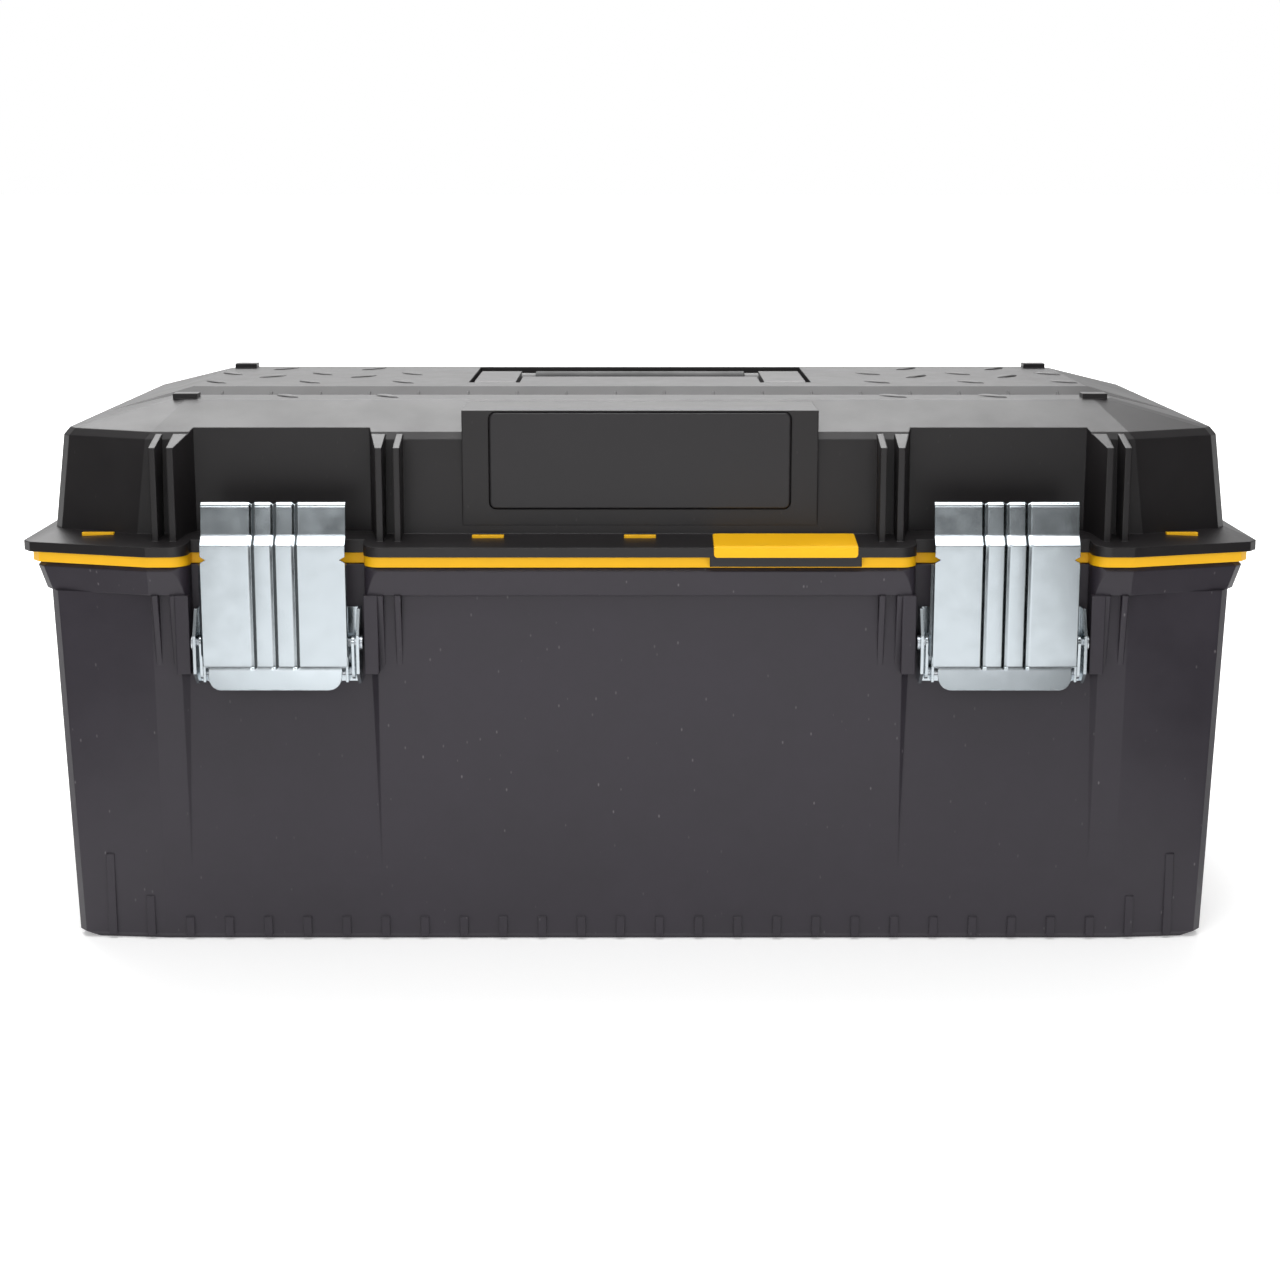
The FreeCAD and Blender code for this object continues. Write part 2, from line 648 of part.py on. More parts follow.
def tub_shell():
    """The moulded tub with everything that is moulded on it."""
    hollow = loft("TubHollow", [(d.floor, tub_plan_low(d.wall)), (d.tub_height, tub_plan_top(d.wall)),
                                (RIM_TOP + d.cut_over, tub_plan_top(d.wall))])
    outside = loft("TubOutside", [(NOTHING, tub_plan_foot()), (d.foot_cut_height, tub_plan_low(NOTHING)),
                                  (d.tub_height, tub_plan_top(NOTHING))])
    rim_block = loft("RimBlock", [(d.tub_height, rim_plan(d.rim_taper)),
                                  (d.tub_height + d.rim_band, rim_plan(NOTHING)),
                                  (RIM_TOP, rim_plan(d.rim_bevel))])
    walls = cut("TubWalls", outside, hollow)
    rim = cut("Rim", rim_block, hollow)
    middles = [d.latch_x * side for _, side in SIDES]
    hinges = [d.hinge_x * side for _, side in SIDES]
    backings = [wall_behind_latch(middle) for middle in middles]
    body = fuse("TubBody", walls, *backings, *tray_ledges())
    body = cut("TubRecessed", body, *[latch_recess(middle) for middle in middles])
    added = [rim] + foot_ribs()
    for middle in middles:
        added += latch_pads(middle) + rim_gussets(middle)
    web_levels = (RIM_TOP - d.barrel_radius, RIM_TOP)
    for middle in hinges:
        added += knuckles(middle, TUB_KNUCKLES, d.rim_back - d.rim_taper, web_levels)
    body = fuse("TubDetailed", body, *added)
    border = d.foot_border
    openings = [box("FootPanel", about(NOTHING, TUB_END_LOW - border),
                    (border - d.tub_front_low, d.tub_back_low - border), (-d.cut_over, d.foot_recess))]
    for middle in middles:
        openings.append(latch_gap("RimGap", middle, d.rim_front, d.recess_floor,
                                  (d.tub_height, RIM_TOP + d.cut_over)))
        through = (-d.recess_floor - d.cut_over, d.wall - d.recess_floor + d.cut_over)
        openings += [rod_y("RivetHole", x, through, RIVET_Z, d.rivet_radius)
                     for x in rivet_places(middle)]
    for middle in hinges:
        openings.append(rod_x("HingeBore", hinge_length(middle), HINGE_Y, HINGE_Z, d.hinge_pin_radius))
    keep("tub_shell", cut("Tub", body, *openings))


def groove_profile(drop):
    """The V groove's section, or that section lowered to wall the groove."""
    middle = -(d.groove_front + d.groove_back) / 2
    half_floor = d.groove_floor / 2
    half_top = (d.groove_front - d.groove_back) / 2
    over = (half_top - half_floor) * (d.cut_over / d.groove_depth)
    floor_level = d.crown - d.groove_depth - drop
    top_level = d.crown + d.cut_over - drop
    return [(middle - half_floor, floor_level), (middle - half_top - over, top_level),
            (middle + half_top + over, top_level), (middle + half_floor, floor_level)]


def arm_slot(side, margin, top):
    """The slot that a folded handle arm lies in, or the block that walls it."""
    inner = d.arm_inner - d.slot_gap - margin
    outer = d.arm_outer + d.slot_gap + margin
    xs = (inner, outer) if side == RIGHT else (-outer, -inner)
    return box("ArmSlot", xs, (-d.slot_front - margin, d.well_back + margin),
               (d.crown - d.slot_depth - margin, top))


def hand_well(margin, top):
    """The well under the grip, or the block that walls it."""
    half = d.arm_inner - d.slot_gap + margin
    return box("HandWell", about(NOTHING, half), (d.land_back - margin, d.well_back + margin),
               (d.crown - d.well_depth - margin, top))


def latch_pocket(middle):
    """The pocket in the lid's front wall above a latch, whose sides slant out along the ribs."""
    half = d.pocket_half_width
    wide = half + d.pocket_slant
    far = d.lid_rib_front + d.cut_over
    plan = [(middle - half, -d.pocket_floor), (middle - wide, -d.lid_rib_front), (middle - wide, -far),
            (middle + wide, -far), (middle + wide, -d.lid_rib_front), (middle + half, -d.pocket_floor)]
    return prism_z("LatchPocket", (FLANGE_LOW - d.cut_over, d.crown + d.cut_over), plan)


def pocket_backing(middle):
    """The wall behind that pocket."""
    return box("PocketBacking", about(middle, d.pocket_half_width + d.pocket_slant + d.lid_wall),
               (-d.lid_front_low, d.lid_wall - d.pocket_floor), (FLANGE_LOW, d.crown - d.lid_wall))


def lid_ribs(middle):
    """The four ribs that flank a latch on the lid, the near ones as wide as the pocket's sides need."""
    half = d.rib_width / 2
    root_low = d.lid_front_low - d.lid_wall / 2
    root_top = d.lid_front_top - d.lid_wall / 2
    profile = [(-root_low, FLANGE_LOW), (-d.lid_rib_front, FLANGE_LOW),
               (-d.lid_rib_front, d.shoulder - d.lid_rib_drop), (-d.lid_front_top, d.shoulder),
               (-root_top, d.shoulder)]
    inner = d.pocket_half_width
    outer = d.rib_near + half
    spans = [(middle - outer, middle - inner), (middle + inner, middle + outer),
             about(middle - d.rib_far, half), about(middle + d.rib_far, half)]
    return [prism_x("LidRib", xs, profile) for xs in spans]


def centre_boss():
    """The upright block that carries the name plate."""
    root = d.lid_front_top - d.lid_wall
    profile = [(-d.boss_front, d.boss_low), (-d.boss_front, d.boss_top), (-d.boss_back, d.boss_top),
               (-root, d.shoulder), (-root, d.boss_low)]
    return prism_x("CentreBoss", about(NOTHING, d.boss_half_width), profile)


def stacking_lugs():
    lugs = []
    levels = (d.crown - d.lid_wall / 2, d.crown + d.lug_height)
    outer = d.crown_half_depth - d.lug_set
    inner = outer - d.lug_depth
    for side in (LEFT, RIGHT):
        width = about((CROWN_END - d.lug_inset) * side, d.lug_length / 2)
        lugs.append(box("Lug", width, (-outer, -inner), levels))
        lugs.append(box("Lug", width, (inner, outer), levels))
    return lugs


def plug_spans():
    """The plan of each seal plug that shows on the flange."""
    past_bend = PLUG_END - CORNER_BEND
    slope = d.flange_set / (d.flange_half_length - CORNER_BEND)
    end_front = d.plug_front - slope * past_bend
    spans = []
    for x, front in ((-d.plug_x, d.plug_front), (NOTHING, d.plug_front),
                     (-PLUG_END, end_front), (PLUG_END, end_front)):
        spans.append((about(x, d.plug_length / 2), (-front, d.plug_width - front)))
    return spans


def seal_plugs(levels):
    return [box("Plug", xs, ys, levels) for xs, ys in plug_spans()]


def handle_pin_span(side):
    inner = d.arm_inner - d.slot_gap - d.handle_pin_hold
    outer = d.arm_outer + d.slot_gap + d.handle_pin_hold
    return (inner, outer) if side == RIGHT else (-outer, -inner)


def plate_block(name, grow, ys):
    """A block of the name plate's outline with rounded corners, grown all round."""
    block = box(f"{name}Block", about(NOTHING, d.plate_half_length + grow), ys,
                (d.plate_low - grow, d.plate_high + grow))
    return rounded(name, block, d.plate_corner + grow, along(FreeCAD.Vector(0, 1, 0)))


def plate_recess():
    recess_floor = d.boss_front - d.plate_thick + d.plate_proud
    return plate_block("PlateRecess", d.plate_gap, (-d.boss_front - d.cut_over, -recess_floor))


def lid_shell():
    """The moulded lid with everything that is moulded on it."""
    bevel = d.shoulder_cut
    roof_slope = (d.crown - d.shoulder) / (d.lid_front_top - d.crown_half_depth)
    outside = loft("LidOutside", [(FLANGE_LOW, lid_plan_low(NOTHING)),
                                  (d.shoulder - bevel, lid_plan_top(NOTHING)),
                                  (d.shoulder + roof_slope * bevel, lid_plan_top(bevel)),
                                  (d.crown, crown_plan(NOTHING))])
    hollow = loft("LidHollow", [(FLANGE_LOW - d.cut_over, lid_plan_low(d.lid_wall)),
                                (d.shoulder - d.lid_wall / 2, lid_plan_top(d.lid_wall)),
                                (d.crown - d.lid_wall, crown_plan(d.lid_wall))])
    middles = [d.latch_x * side for _, side in SIDES]
    hinges = [d.hinge_x * side for _, side in SIDES]
    under_top = d.crown - d.lid_wall / 2
    lined = [prism_x("GrooveTrough", about(NOTHING, LID_END_LOW), groove_profile(d.lid_wall)),
             hand_well(d.lid_wall, under_top)]
    lined += [arm_slot(side, d.lid_wall, under_top) for _, side in SIDES]
    lined += [pocket_backing(middle) for middle in middles]
    linings = common("Linings", outside, fuse("LiningBlocks", *lined))
    ribs = [rib for middle in middles for rib in lid_ribs(middle)]
    shell = fuse("LidWalls", cut("LidShell", outside, hollow), linings, *ribs)
    shell = cut("LidPocketed", shell, *[latch_pocket(middle) for middle in middles])
    flange_edge = prism_z("FlangeEdge", (FLANGE_LOW, FLANGE_EDGE), flange_plan())
    flange_slope = loft("FlangeSlope", [(FLANGE_EDGE, flange_plan()), (FLANGE_TOP, lid_plan_low(NOTHING))])
    flange = cut("Flange", fuse("FlangeBlock", flange_edge, flange_slope), hollow)
    tab = box("LidTab", about(d.pad_x, d.pad_half_length + d.tab_margin),
              (-d.flange_front, d.tab_thick - d.flange_front), (FLANGE_LOW - d.tab_drop, FLANGE_EDGE))
    added = [flange, centre_boss(), tab] + stacking_lugs()
    for middle in hinges:
        added += knuckles(middle, LID_KNUCKLES, FLANGE_BACK - d.hinge_gap, (FLANGE_LOW, FLANGE_EDGE))
    body = fuse("LidDetailed", shell, *added)
    above = d.crown + d.cut_over
    openings = [prism_x("Groove", about(NOTHING, d.flange_half_length), groove_profile(NOTHING)),
                hand_well(NOTHING, above), plate_recess()]
    openings += [arm_slot(side, NOTHING, above) for _, side in SIDES]
    openings += seal_plugs((FLANGE_LOW - d.cut_over, FLANGE_TOP + d.cut_over))
    for middle in middles:
        openings.append(latch_gap("FlangeGap", middle, d.flange_front, d.notch_floor,
                                  (FLANGE_LOW - d.cut_over, FLANGE_TOP + d.cut_over)))
    for middle in hinges:
        bore = d.hinge_pin_radius + d.run_gap
        openings.append(rod_x("HingeBore", hinge_length(middle), HINGE_Y, HINGE_Z, bore))
    for _, side in SIDES:
        span = handle_pin_span(side)
        openings.append(rod_x("HandleBore", span, d.handle_y, HANDLE_Z, d.handle_pin_radius))
    keep("lid_shell", cut("Lid", body, *openings))


def lid_seal():
    """The soft seal under the flange, with the plugs that hold it."""
    through = (SEAL_LOW - d.cut_over, FLANGE_LOW + d.cut_over)
    ring = cut("SealRing", prism_z("SealOutside", (SEAL_LOW, FLANGE_LOW), seal_plan(NOTHING)),
               prism_z("SealInside", through, seal_plan(d.seal_width)))
    gaps = []
    for _, side in SIDES:
        gaps.append(latch_gap("SealGap", d.latch_x * side, d.seal_front, d.notch_floor - d.seal_notch_gap,
                              through))
    plugs = seal_plugs((FLANGE_LOW - d.seal_height / 2, FLANGE_TOP + d.plug_proud))
    keep("lid_seal", fuse("Seal", cut("SealBand", ring, *gaps), *plugs))


def lift_pad():
    """The soft pad over the flange's edge, where fingers lift the lid."""
    run = d.flange_front - d.lid_front_low
    back_level = FLANGE_EDGE + d.flange_rise * ((d.flange_front - d.pad_back) / run)
    front = d.flange_front + d.pad_thick
    profile = [(-front, FLANGE_LOW), (-front, FLANGE_EDGE + d.pad_thick),
               (-d.pad_back, back_level + d.pad_thick), (-d.pad_back, back_level),
               (-d.flange_front, FLANGE_EDGE), (-d.flange_front, FLANGE_LOW)]
    keep("lift_pad", prism_x("LiftPad", about(d.pad_x, d.pad_half_length), profile))


def name_plate():
    """The blank plate in the boss."""
    face = d.boss_front + d.plate_proud
    keep("name_plate", plate_block("NamePlate", NOTHING, (-face, d.plate_thick - face)))


def handle_arm(side):
    """A flat arm from the pivot to the grip, flush on top."""
    xs = (d.arm_inner, d.arm_outer) if side == RIGHT else (-d.arm_outer, -d.arm_inner)
    web = [(d.handle_y, HANDLE_TOP), (d.handle_y, HANDLE_TOP - d.arm_radius * 2),
           (d.grip_y, HANDLE_TOP - d.grip_radius * 2), (d.grip_y, HANDLE_TOP)]
    return [prism_x("ArmWeb", xs, web), rod_x("ArmEnd", xs, d.handle_y, HANDLE_Z, d.arm_radius),
            rod_x("ArmRoot", xs, d.grip_y, GRIP_Z, d.grip_radius)]


def handle():
    """The carrying handle: arms and bar in one piece, a sleeve on the bar and two pins."""
    bar = rod_x("GripBar", about(NOTHING, d.arm_inner), d.grip_y, GRIP_Z, d.grip_core_radius)
    solids = [bar]
    bores = []
    for name, side in SIDES:
        solids += handle_arm(side)
        collar = (d.grip_half_length, d.arm_inner) if side == RIGHT else (-d.arm_inner, -d.grip_half_length)
        solids.append(rod_x("Collar", collar, d.grip_y, GRIP_Z, d.collar_radius))
        span = handle_pin_span(side)
        bores.append(rod_x("PinBore", span, d.handle_y, HANDLE_Z, d.handle_pin_radius + d.run_gap))
        keep(f"handle_pin_{name}", rod_x("HandlePin", span, d.handle_y, HANDLE_Z, d.handle_pin_radius))
    keep("handle_frame", cut("HandleFrame", fuse("HandleSolids", *solids), *bores))
    sleeve = about(NOTHING, d.grip_half_length)
    keep("handle_grip", cut("HandleGrip", rod_x("SleeveOutside", sleeve, d.grip_y, GRIP_Z, d.grip_radius),
                            rod_x("SleeveBore", sleeve, d.grip_y, GRIP_Z, d.grip_core_radius)))


def hinge_pins():
    for name, side in SIDES:
        keep(f"hinge_pin_{name}", rod_x("HingePin", hinge_length(d.hinge_x * side), HINGE_Y, HINGE_Z,
                                        d.hinge_pin_radius))


def latch_bracket(name, middle):
    """The channel riveted to the tub, with the ears that hold the pin."""
    back = d.recess_floor
    base = box("BracketBase", about(middle, d.bracket_half_width), (-back - d.bracket_thick, -back),
               (BRACKET_LOW, BRACKET_TOP))
    edge = d.ear_front - d.ear_chamfer
    ear = [(-back, BRACKET_LOW), (-edge, BRACKET_LOW),
           (-d.ear_front, BRACKET_LOW + d.ear_chamfer), (-d.ear_front, BRACKET_TOP - d.ear_chamfer * 2),
           (-edge, BRACKET_TOP), (-back, BRACKET_TOP)]
    outer = d.bracket_half_width
    inner = outer - d.bracket_thick
    ears = [prism_x("Ear", (middle - outer, middle - inner), ear),
            prism_x("Ear", (middle + inner, middle + outer), ear)]
    holes = [rod_x("EarHole", about(middle, outer), -d.pivot_y, d.pivot_height, d.latch_pin_radius)]
    holes += [rod_y("RivetHole", x, (-d.ear_front, -back), RIVET_Z, d.rivet_radius)
              for x in rivet_places(middle)]
    keep(f"latch_bracket_{name}", cut("Bracket", fuse("BracketSheet", base, *ears), *holes))


def latch_pivot_pin(name, middle):
    """The headed pin across the ears."""
    outer = d.bracket_half_width
    head = outer + d.pin_head_thick
    solids = [rod_x("PinShank", about(middle, outer), -d.pivot_y, d.pivot_height, d.latch_pin_radius)]
    for xs in ((middle - head, middle - outer), (middle + outer, middle + head)):
        solids.append(rod_x("PinHead", xs, -d.pivot_y, d.pivot_height, d.pin_head_radius))
    keep(f"latch_pivot_pin_{name}", fuse("PivotPin", *solids))


def latch_links(name, middle):
    """The pair of swing links between bracket pin and plate pin, with that pin."""
    reach = d.link_radius
    web = [(-d.pivot_y - reach, d.pivot_height), (reach - d.pivot_y, d.pivot_height),
           (reach - LEVER_Y, LEVER_Z), (-LEVER_Y - reach, LEVER_Z)]
    inner = d.link_inner
    outer = inner + d.link_thick
    links = []
    for xs in ((middle - outer, middle - inner), (middle + inner, middle + outer)):
        solid = fuse("LinkSheet", prism_x("LinkWeb", xs, web),
                     rod_x("LinkEnd", xs, -d.pivot_y, d.pivot_height, reach),
                     rod_x("LinkEnd", xs, -LEVER_Y, LEVER_Z, reach))
        links.append(cut("Link", solid,
                         rod_x("PivotHole", xs, -d.pivot_y, d.pivot_height, d.latch_pin_radius + d.run_gap),
                         rod_x("LeverHole", xs, -LEVER_Y, LEVER_Z, d.latch_pin_radius)))
    keep(f"latch_links_{name}", group("Links", *links))
    keep(f"latch_lever_pin_{name}",
         rod_x("LeverPin", about(middle, outer), -LEVER_Y, LEVER_Z, d.latch_pin_radius))


def latch_sheet_profile():
    """The pressed plate's section: rolled top edge, step, face and lip."""
    thick = d.sheet_thick
    face = d.latch_front
    upper = face - d.latch_step
    tip = upper - d.latch_roll
    lip = face + d.lip_reach
    step_high = d.latch_step_low + d.latch_step
    front = [(-tip, d.latch_top), (-upper, d.latch_top), (-upper, step_high),
             (-face, d.latch_step_low), (-face, LATCH_BEND), (-lip, LATCH_LOW)]
    under = d.latch_top - thick
    back = [(thick - lip, LATCH_LOW), (thick - face, LATCH_BEND),
            (thick - face, d.latch_step_low + thick / 2), (thick - upper, step_high + thick / 2),
            (thick - upper, under), (-tip, under)]
    return front + back


def pressed_groove(middle, step):
    """The shallow groove pressed down the plate's face."""
    face = d.latch_front + d.cut_over
    floor = d.latch_front - d.press_depth
    upper = floor - d.latch_step
    step_high = d.latch_step_low + d.latch_step
    above = d.latch_top + d.cut_over
    profile = [(-upper, above), (-upper, step_high), (-floor, d.latch_step_low), (-floor, LATCH_BEND),
               (-face, LATCH_BEND), (-face, above)]
    return prism_x("PressedGroove", about(middle + d.press_pitch * step, d.press_width / 2), profile)


def lip_trim(middle):
    """What is cut away beside the lip, down to its rounded lower corners."""
    levels = (LATCH_LOW, LATCH_BEND)
    depth = (-LATCH_REACH - d.cut_over, d.sheet_thick - d.latch_front)
    zone = box("LipZone", about(middle, d.latch_half_width + d.cut_over), depth,
               (levels[0] - d.cut_over, levels[1]))
    corner = d.lip_corner
    tongue = [box("Tongue", about(middle, d.lip_half_width - corner), depth, levels),
              box("TongueSides", about(middle, d.lip_half_width), depth, (levels[0] + corner, levels[1]))]
    tongue += [rod_y("TongueCorner", x, depth, levels[0] + corner, corner)
               for x in about(middle, d.lip_half_width - corner)]
    return cut("LipTrim", zone, *tongue)


def latch_plate(name, middle):
    """The pressed plate with its bent edges, lugs and lip."""
    half = d.latch_half_width
    inner = half - d.sheet_thick
    sheet = prism_x("PlateSheet", about(middle, half), latch_sheet_profile())
    back = d.latch_front - d.sheet_thick / 2
    reach = d.link_radius
    lug = [(-back, LEVER_Z - reach), (-LEVER_Y, LEVER_Z - reach), (-LEVER_Y, LEVER_Z + reach),
           (-back, d.pivot_height)]
    edge_depth = back - d.latch_flange_depth
    edge = [(-back, d.pivot_height - d.latch_flange_drop),
            (-edge_depth, d.latch_flange_high - d.latch_flange_depth), (-back, d.latch_flange_high)]
    solids = [sheet]
    for xs in ((middle - half, middle - inner), (middle + inner, middle + half)):
        solids += [prism_x("LugWeb", xs, lug), rod_x("LugEnd", xs, -LEVER_Y, LEVER_Z, reach),
                   prism_x("BentEdge", xs, edge)]
    bore = rod_x("LeverBore", about(middle, half), -LEVER_Y, LEVER_Z, d.latch_pin_radius + d.run_gap)
    grooves = [pressed_groove(middle, step) for step in PRESSED_GROOVES]
    plate = fuse("PlateSolids", *solids)
    keep(f"latch_plate_{name}", cut("LatchPlate", plate, lip_trim(middle), bore, *grooves))


def rivet(x):
    """A rivet through bracket and tub wall, with a head on both faces."""
    outer = d.recess_floor + d.bracket_thick
    inner = d.recess_floor - d.wall
    thick = d.rivet_head_thick
    return fuse("Rivet", rod_y("RivetShank", x, (-outer, -inner), RIVET_Z, d.rivet_radius),
                rod_y("RivetHead", x, (-outer - thick, -outer), RIVET_Z, d.rivet_head_radius),
                rod_y("RivetHead", x, (-inner, thick - inner), RIVET_Z, d.rivet_head_radius))


def latches():
    rivets = []
    for name, side in SIDES:
        middle = d.latch_x * side
        latch_bracket(name, middle)
        latch_pivot_pin(name, middle)
        latch_links(name, middle)
        latch_plate(name, middle)
        rivets += [rivet(x) for x in rivet_places(middle)]
    keep("bracket_rivets", group("Rivets", *rivets))


def tray_cell(xs, ys, top):
    block = box("CellBlock", xs, ys, (TRAY_LOW + d.tray_wall, top))
    return rounded("Cell", block, d.tray_cell_corner, along(FreeCAD.Vector(0, 0, 1)))


def tote_tray():
    """The tray on its ledges, with cells and a carrying wall."""
    left = d.tray_inset - d.flange_half_length
    right = left + d.tray_length
    top = TRAY_LOW + d.tray_height
    bulk = box("TrayBulk", (left, right), (-d.tray_front, d.tray_back), (TRAY_LOW, top))
    block = rounded("TrayBlock", bulk, d.tray_corner, along(FreeCAD.Vector(0, 0, 1)))
    spine = (d.tray_back - d.tray_front) / 2
    wall = d.tray_wall
    split = left + d.tray_length * FRONT_CELL_SHARE
    over = top + d.cut_over
    cells = [tray_cell((left + wall, split - wall / 2), (wall - d.tray_front, spine - wall), over),
             tray_cell((split + wall / 2, right - wall), (wall - d.tray_front, spine - wall), over),
             tray_cell((left + wall, right - wall), (spine + wall, d.tray_back - wall), over)]
    raised = TRAY_LOW + d.tray_grip_height
    middle = (left + right) / 2
    carry = box("CarryWall", about(middle, d.tray_grip_half_length), about(spine, wall),
                (TRAY_LOW + wall, raised))
    hole_top = raised - d.tray_bar
    hole = box("FingerHole", about(middle, d.tray_hole_half_length), about(spine, wall * 2),
               (hole_top - d.tray_hole_height, hole_top))
    keep("tote_tray", cut("Tray", fuse("TraySolids", cut("TrayCells", block, *cells), carry), hole))


def check_and_write():
    """Stop on anything that failed, then write one file for each sub-part."""
    doc.recompute()
    for item in doc.Objects:
        if "Invalid" in item.State or "Error" in item.State:
            raise RuntimeError(f"{item.Name} ({item.Label}) failed: {item.State}")
    os.makedirs("parts", exist_ok=True)
    for item in SUB_PARTS:
        shape = item.Shape
        if shape.isNull() or not shape.isValid() or not shape.Solids:
            raise RuntimeError(f"{item.Label} has no valid solid")
        shape.exportStep(f"parts/{item.Label}.step")
        print(f"{item.Label}: {len(shape.Solids)} solid(s), {shape.Volume:.0f} mm3")


tub_shell()
lid_shell()
lid_seal()
lift_pad()
name_plate()
handle()
hinge_pins()
latches()
tote_tray()
check_and_write()
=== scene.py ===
"""The finished look of a moulded tool box, built on its CAD frame."""

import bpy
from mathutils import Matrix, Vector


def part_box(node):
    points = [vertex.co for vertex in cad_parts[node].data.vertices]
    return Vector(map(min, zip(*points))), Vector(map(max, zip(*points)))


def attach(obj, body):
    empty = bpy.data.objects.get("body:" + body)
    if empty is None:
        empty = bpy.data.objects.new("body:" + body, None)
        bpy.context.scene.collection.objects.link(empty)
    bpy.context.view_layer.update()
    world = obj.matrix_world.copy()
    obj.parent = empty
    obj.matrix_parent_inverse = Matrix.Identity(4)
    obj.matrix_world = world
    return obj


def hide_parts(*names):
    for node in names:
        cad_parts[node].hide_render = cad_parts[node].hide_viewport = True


bl_info = {
    "name": "Moulded Tool Box",
    "version": (1, 0, 0),
    "blender": (4, 5, 0),
    "location": "View3D > Sidebar > Tool Box",
    "description": "Dresses the frame of a moulded tool box and models its finer pieces",
    "category": "Object",
}

import math

import bmesh
import bpy
from bpy.props import FloatProperty, FloatVectorProperty, IntProperty, PointerProperty
from mathutils import Vector

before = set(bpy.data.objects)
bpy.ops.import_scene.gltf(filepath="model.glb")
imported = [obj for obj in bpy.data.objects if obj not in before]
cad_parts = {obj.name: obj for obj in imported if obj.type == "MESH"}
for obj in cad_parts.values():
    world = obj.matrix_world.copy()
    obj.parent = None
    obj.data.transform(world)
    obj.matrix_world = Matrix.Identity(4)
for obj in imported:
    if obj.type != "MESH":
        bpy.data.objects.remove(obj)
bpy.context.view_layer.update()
MM = 0.001
SIDES = ("left", "right")
SMOOTH_ANGLE = math.radians(38)
# Flat steps that stand for a quarter round
ROUND_STEPS = 5
# Fall of the groove's walls and of the flange's top, as height over depth
GROOVE_FALL = 0.5
FLANGE_FALL = 2.6 / 22


def srgb(text):
    """A hex colour as linear red, green and blue."""
    parts = [int(text[at:at + 2], 16) / 255 for at in (1, 3, 5)]
    return tuple(part / 12.92 if part <= 0.04045 else ((part + 0.055) / 1.055) ** 2.4 for part in parts)


def colour(name, text, description):
    return FloatVectorProperty(name=name, description=description, default=srgb(text), subtype="COLOR",
                               size=3, min=0, max=1)


def length(name, metres, description):
    return FloatProperty(name=name, description=description, default=metres, unit="LENGTH", min=0)


def corner(node, which, axis):
    """One coordinate of a CAD node's lowest (0) or highest (1) corner."""
    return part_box(node)[which]["xyz".index(axis)]


class ToolBoxColours(bpy.types.PropertyGroup):
    """The colours of the tool box."""

    tub: colour("Tub", "#2B272E", "Charcoal of the structural foam tub")
    lid: colour("Lid", "#1E1C1D", "Black of the lid and tray")
    plate: colour("Name plate", "#1E1C1E", "Black of the blank name plate")
    handle: colour("Handle", "#2A2829", "Black of the handle")
    grip: colour("Grip", "#161617", "Black of the soft grip")
    seal: colour("Seal", "#FFC012", "Amber of the seal and the lift pad")
    zinc: colour("Zinc sheet", "#BBC3C8", "Bluish white of the plated latch sheet")
    steel: colour("Steel", "#C4C9CE", "Grey of the plated pins and rivets")
    floor: colour("Floor", "#F4F4F4", "White of the studio floor")


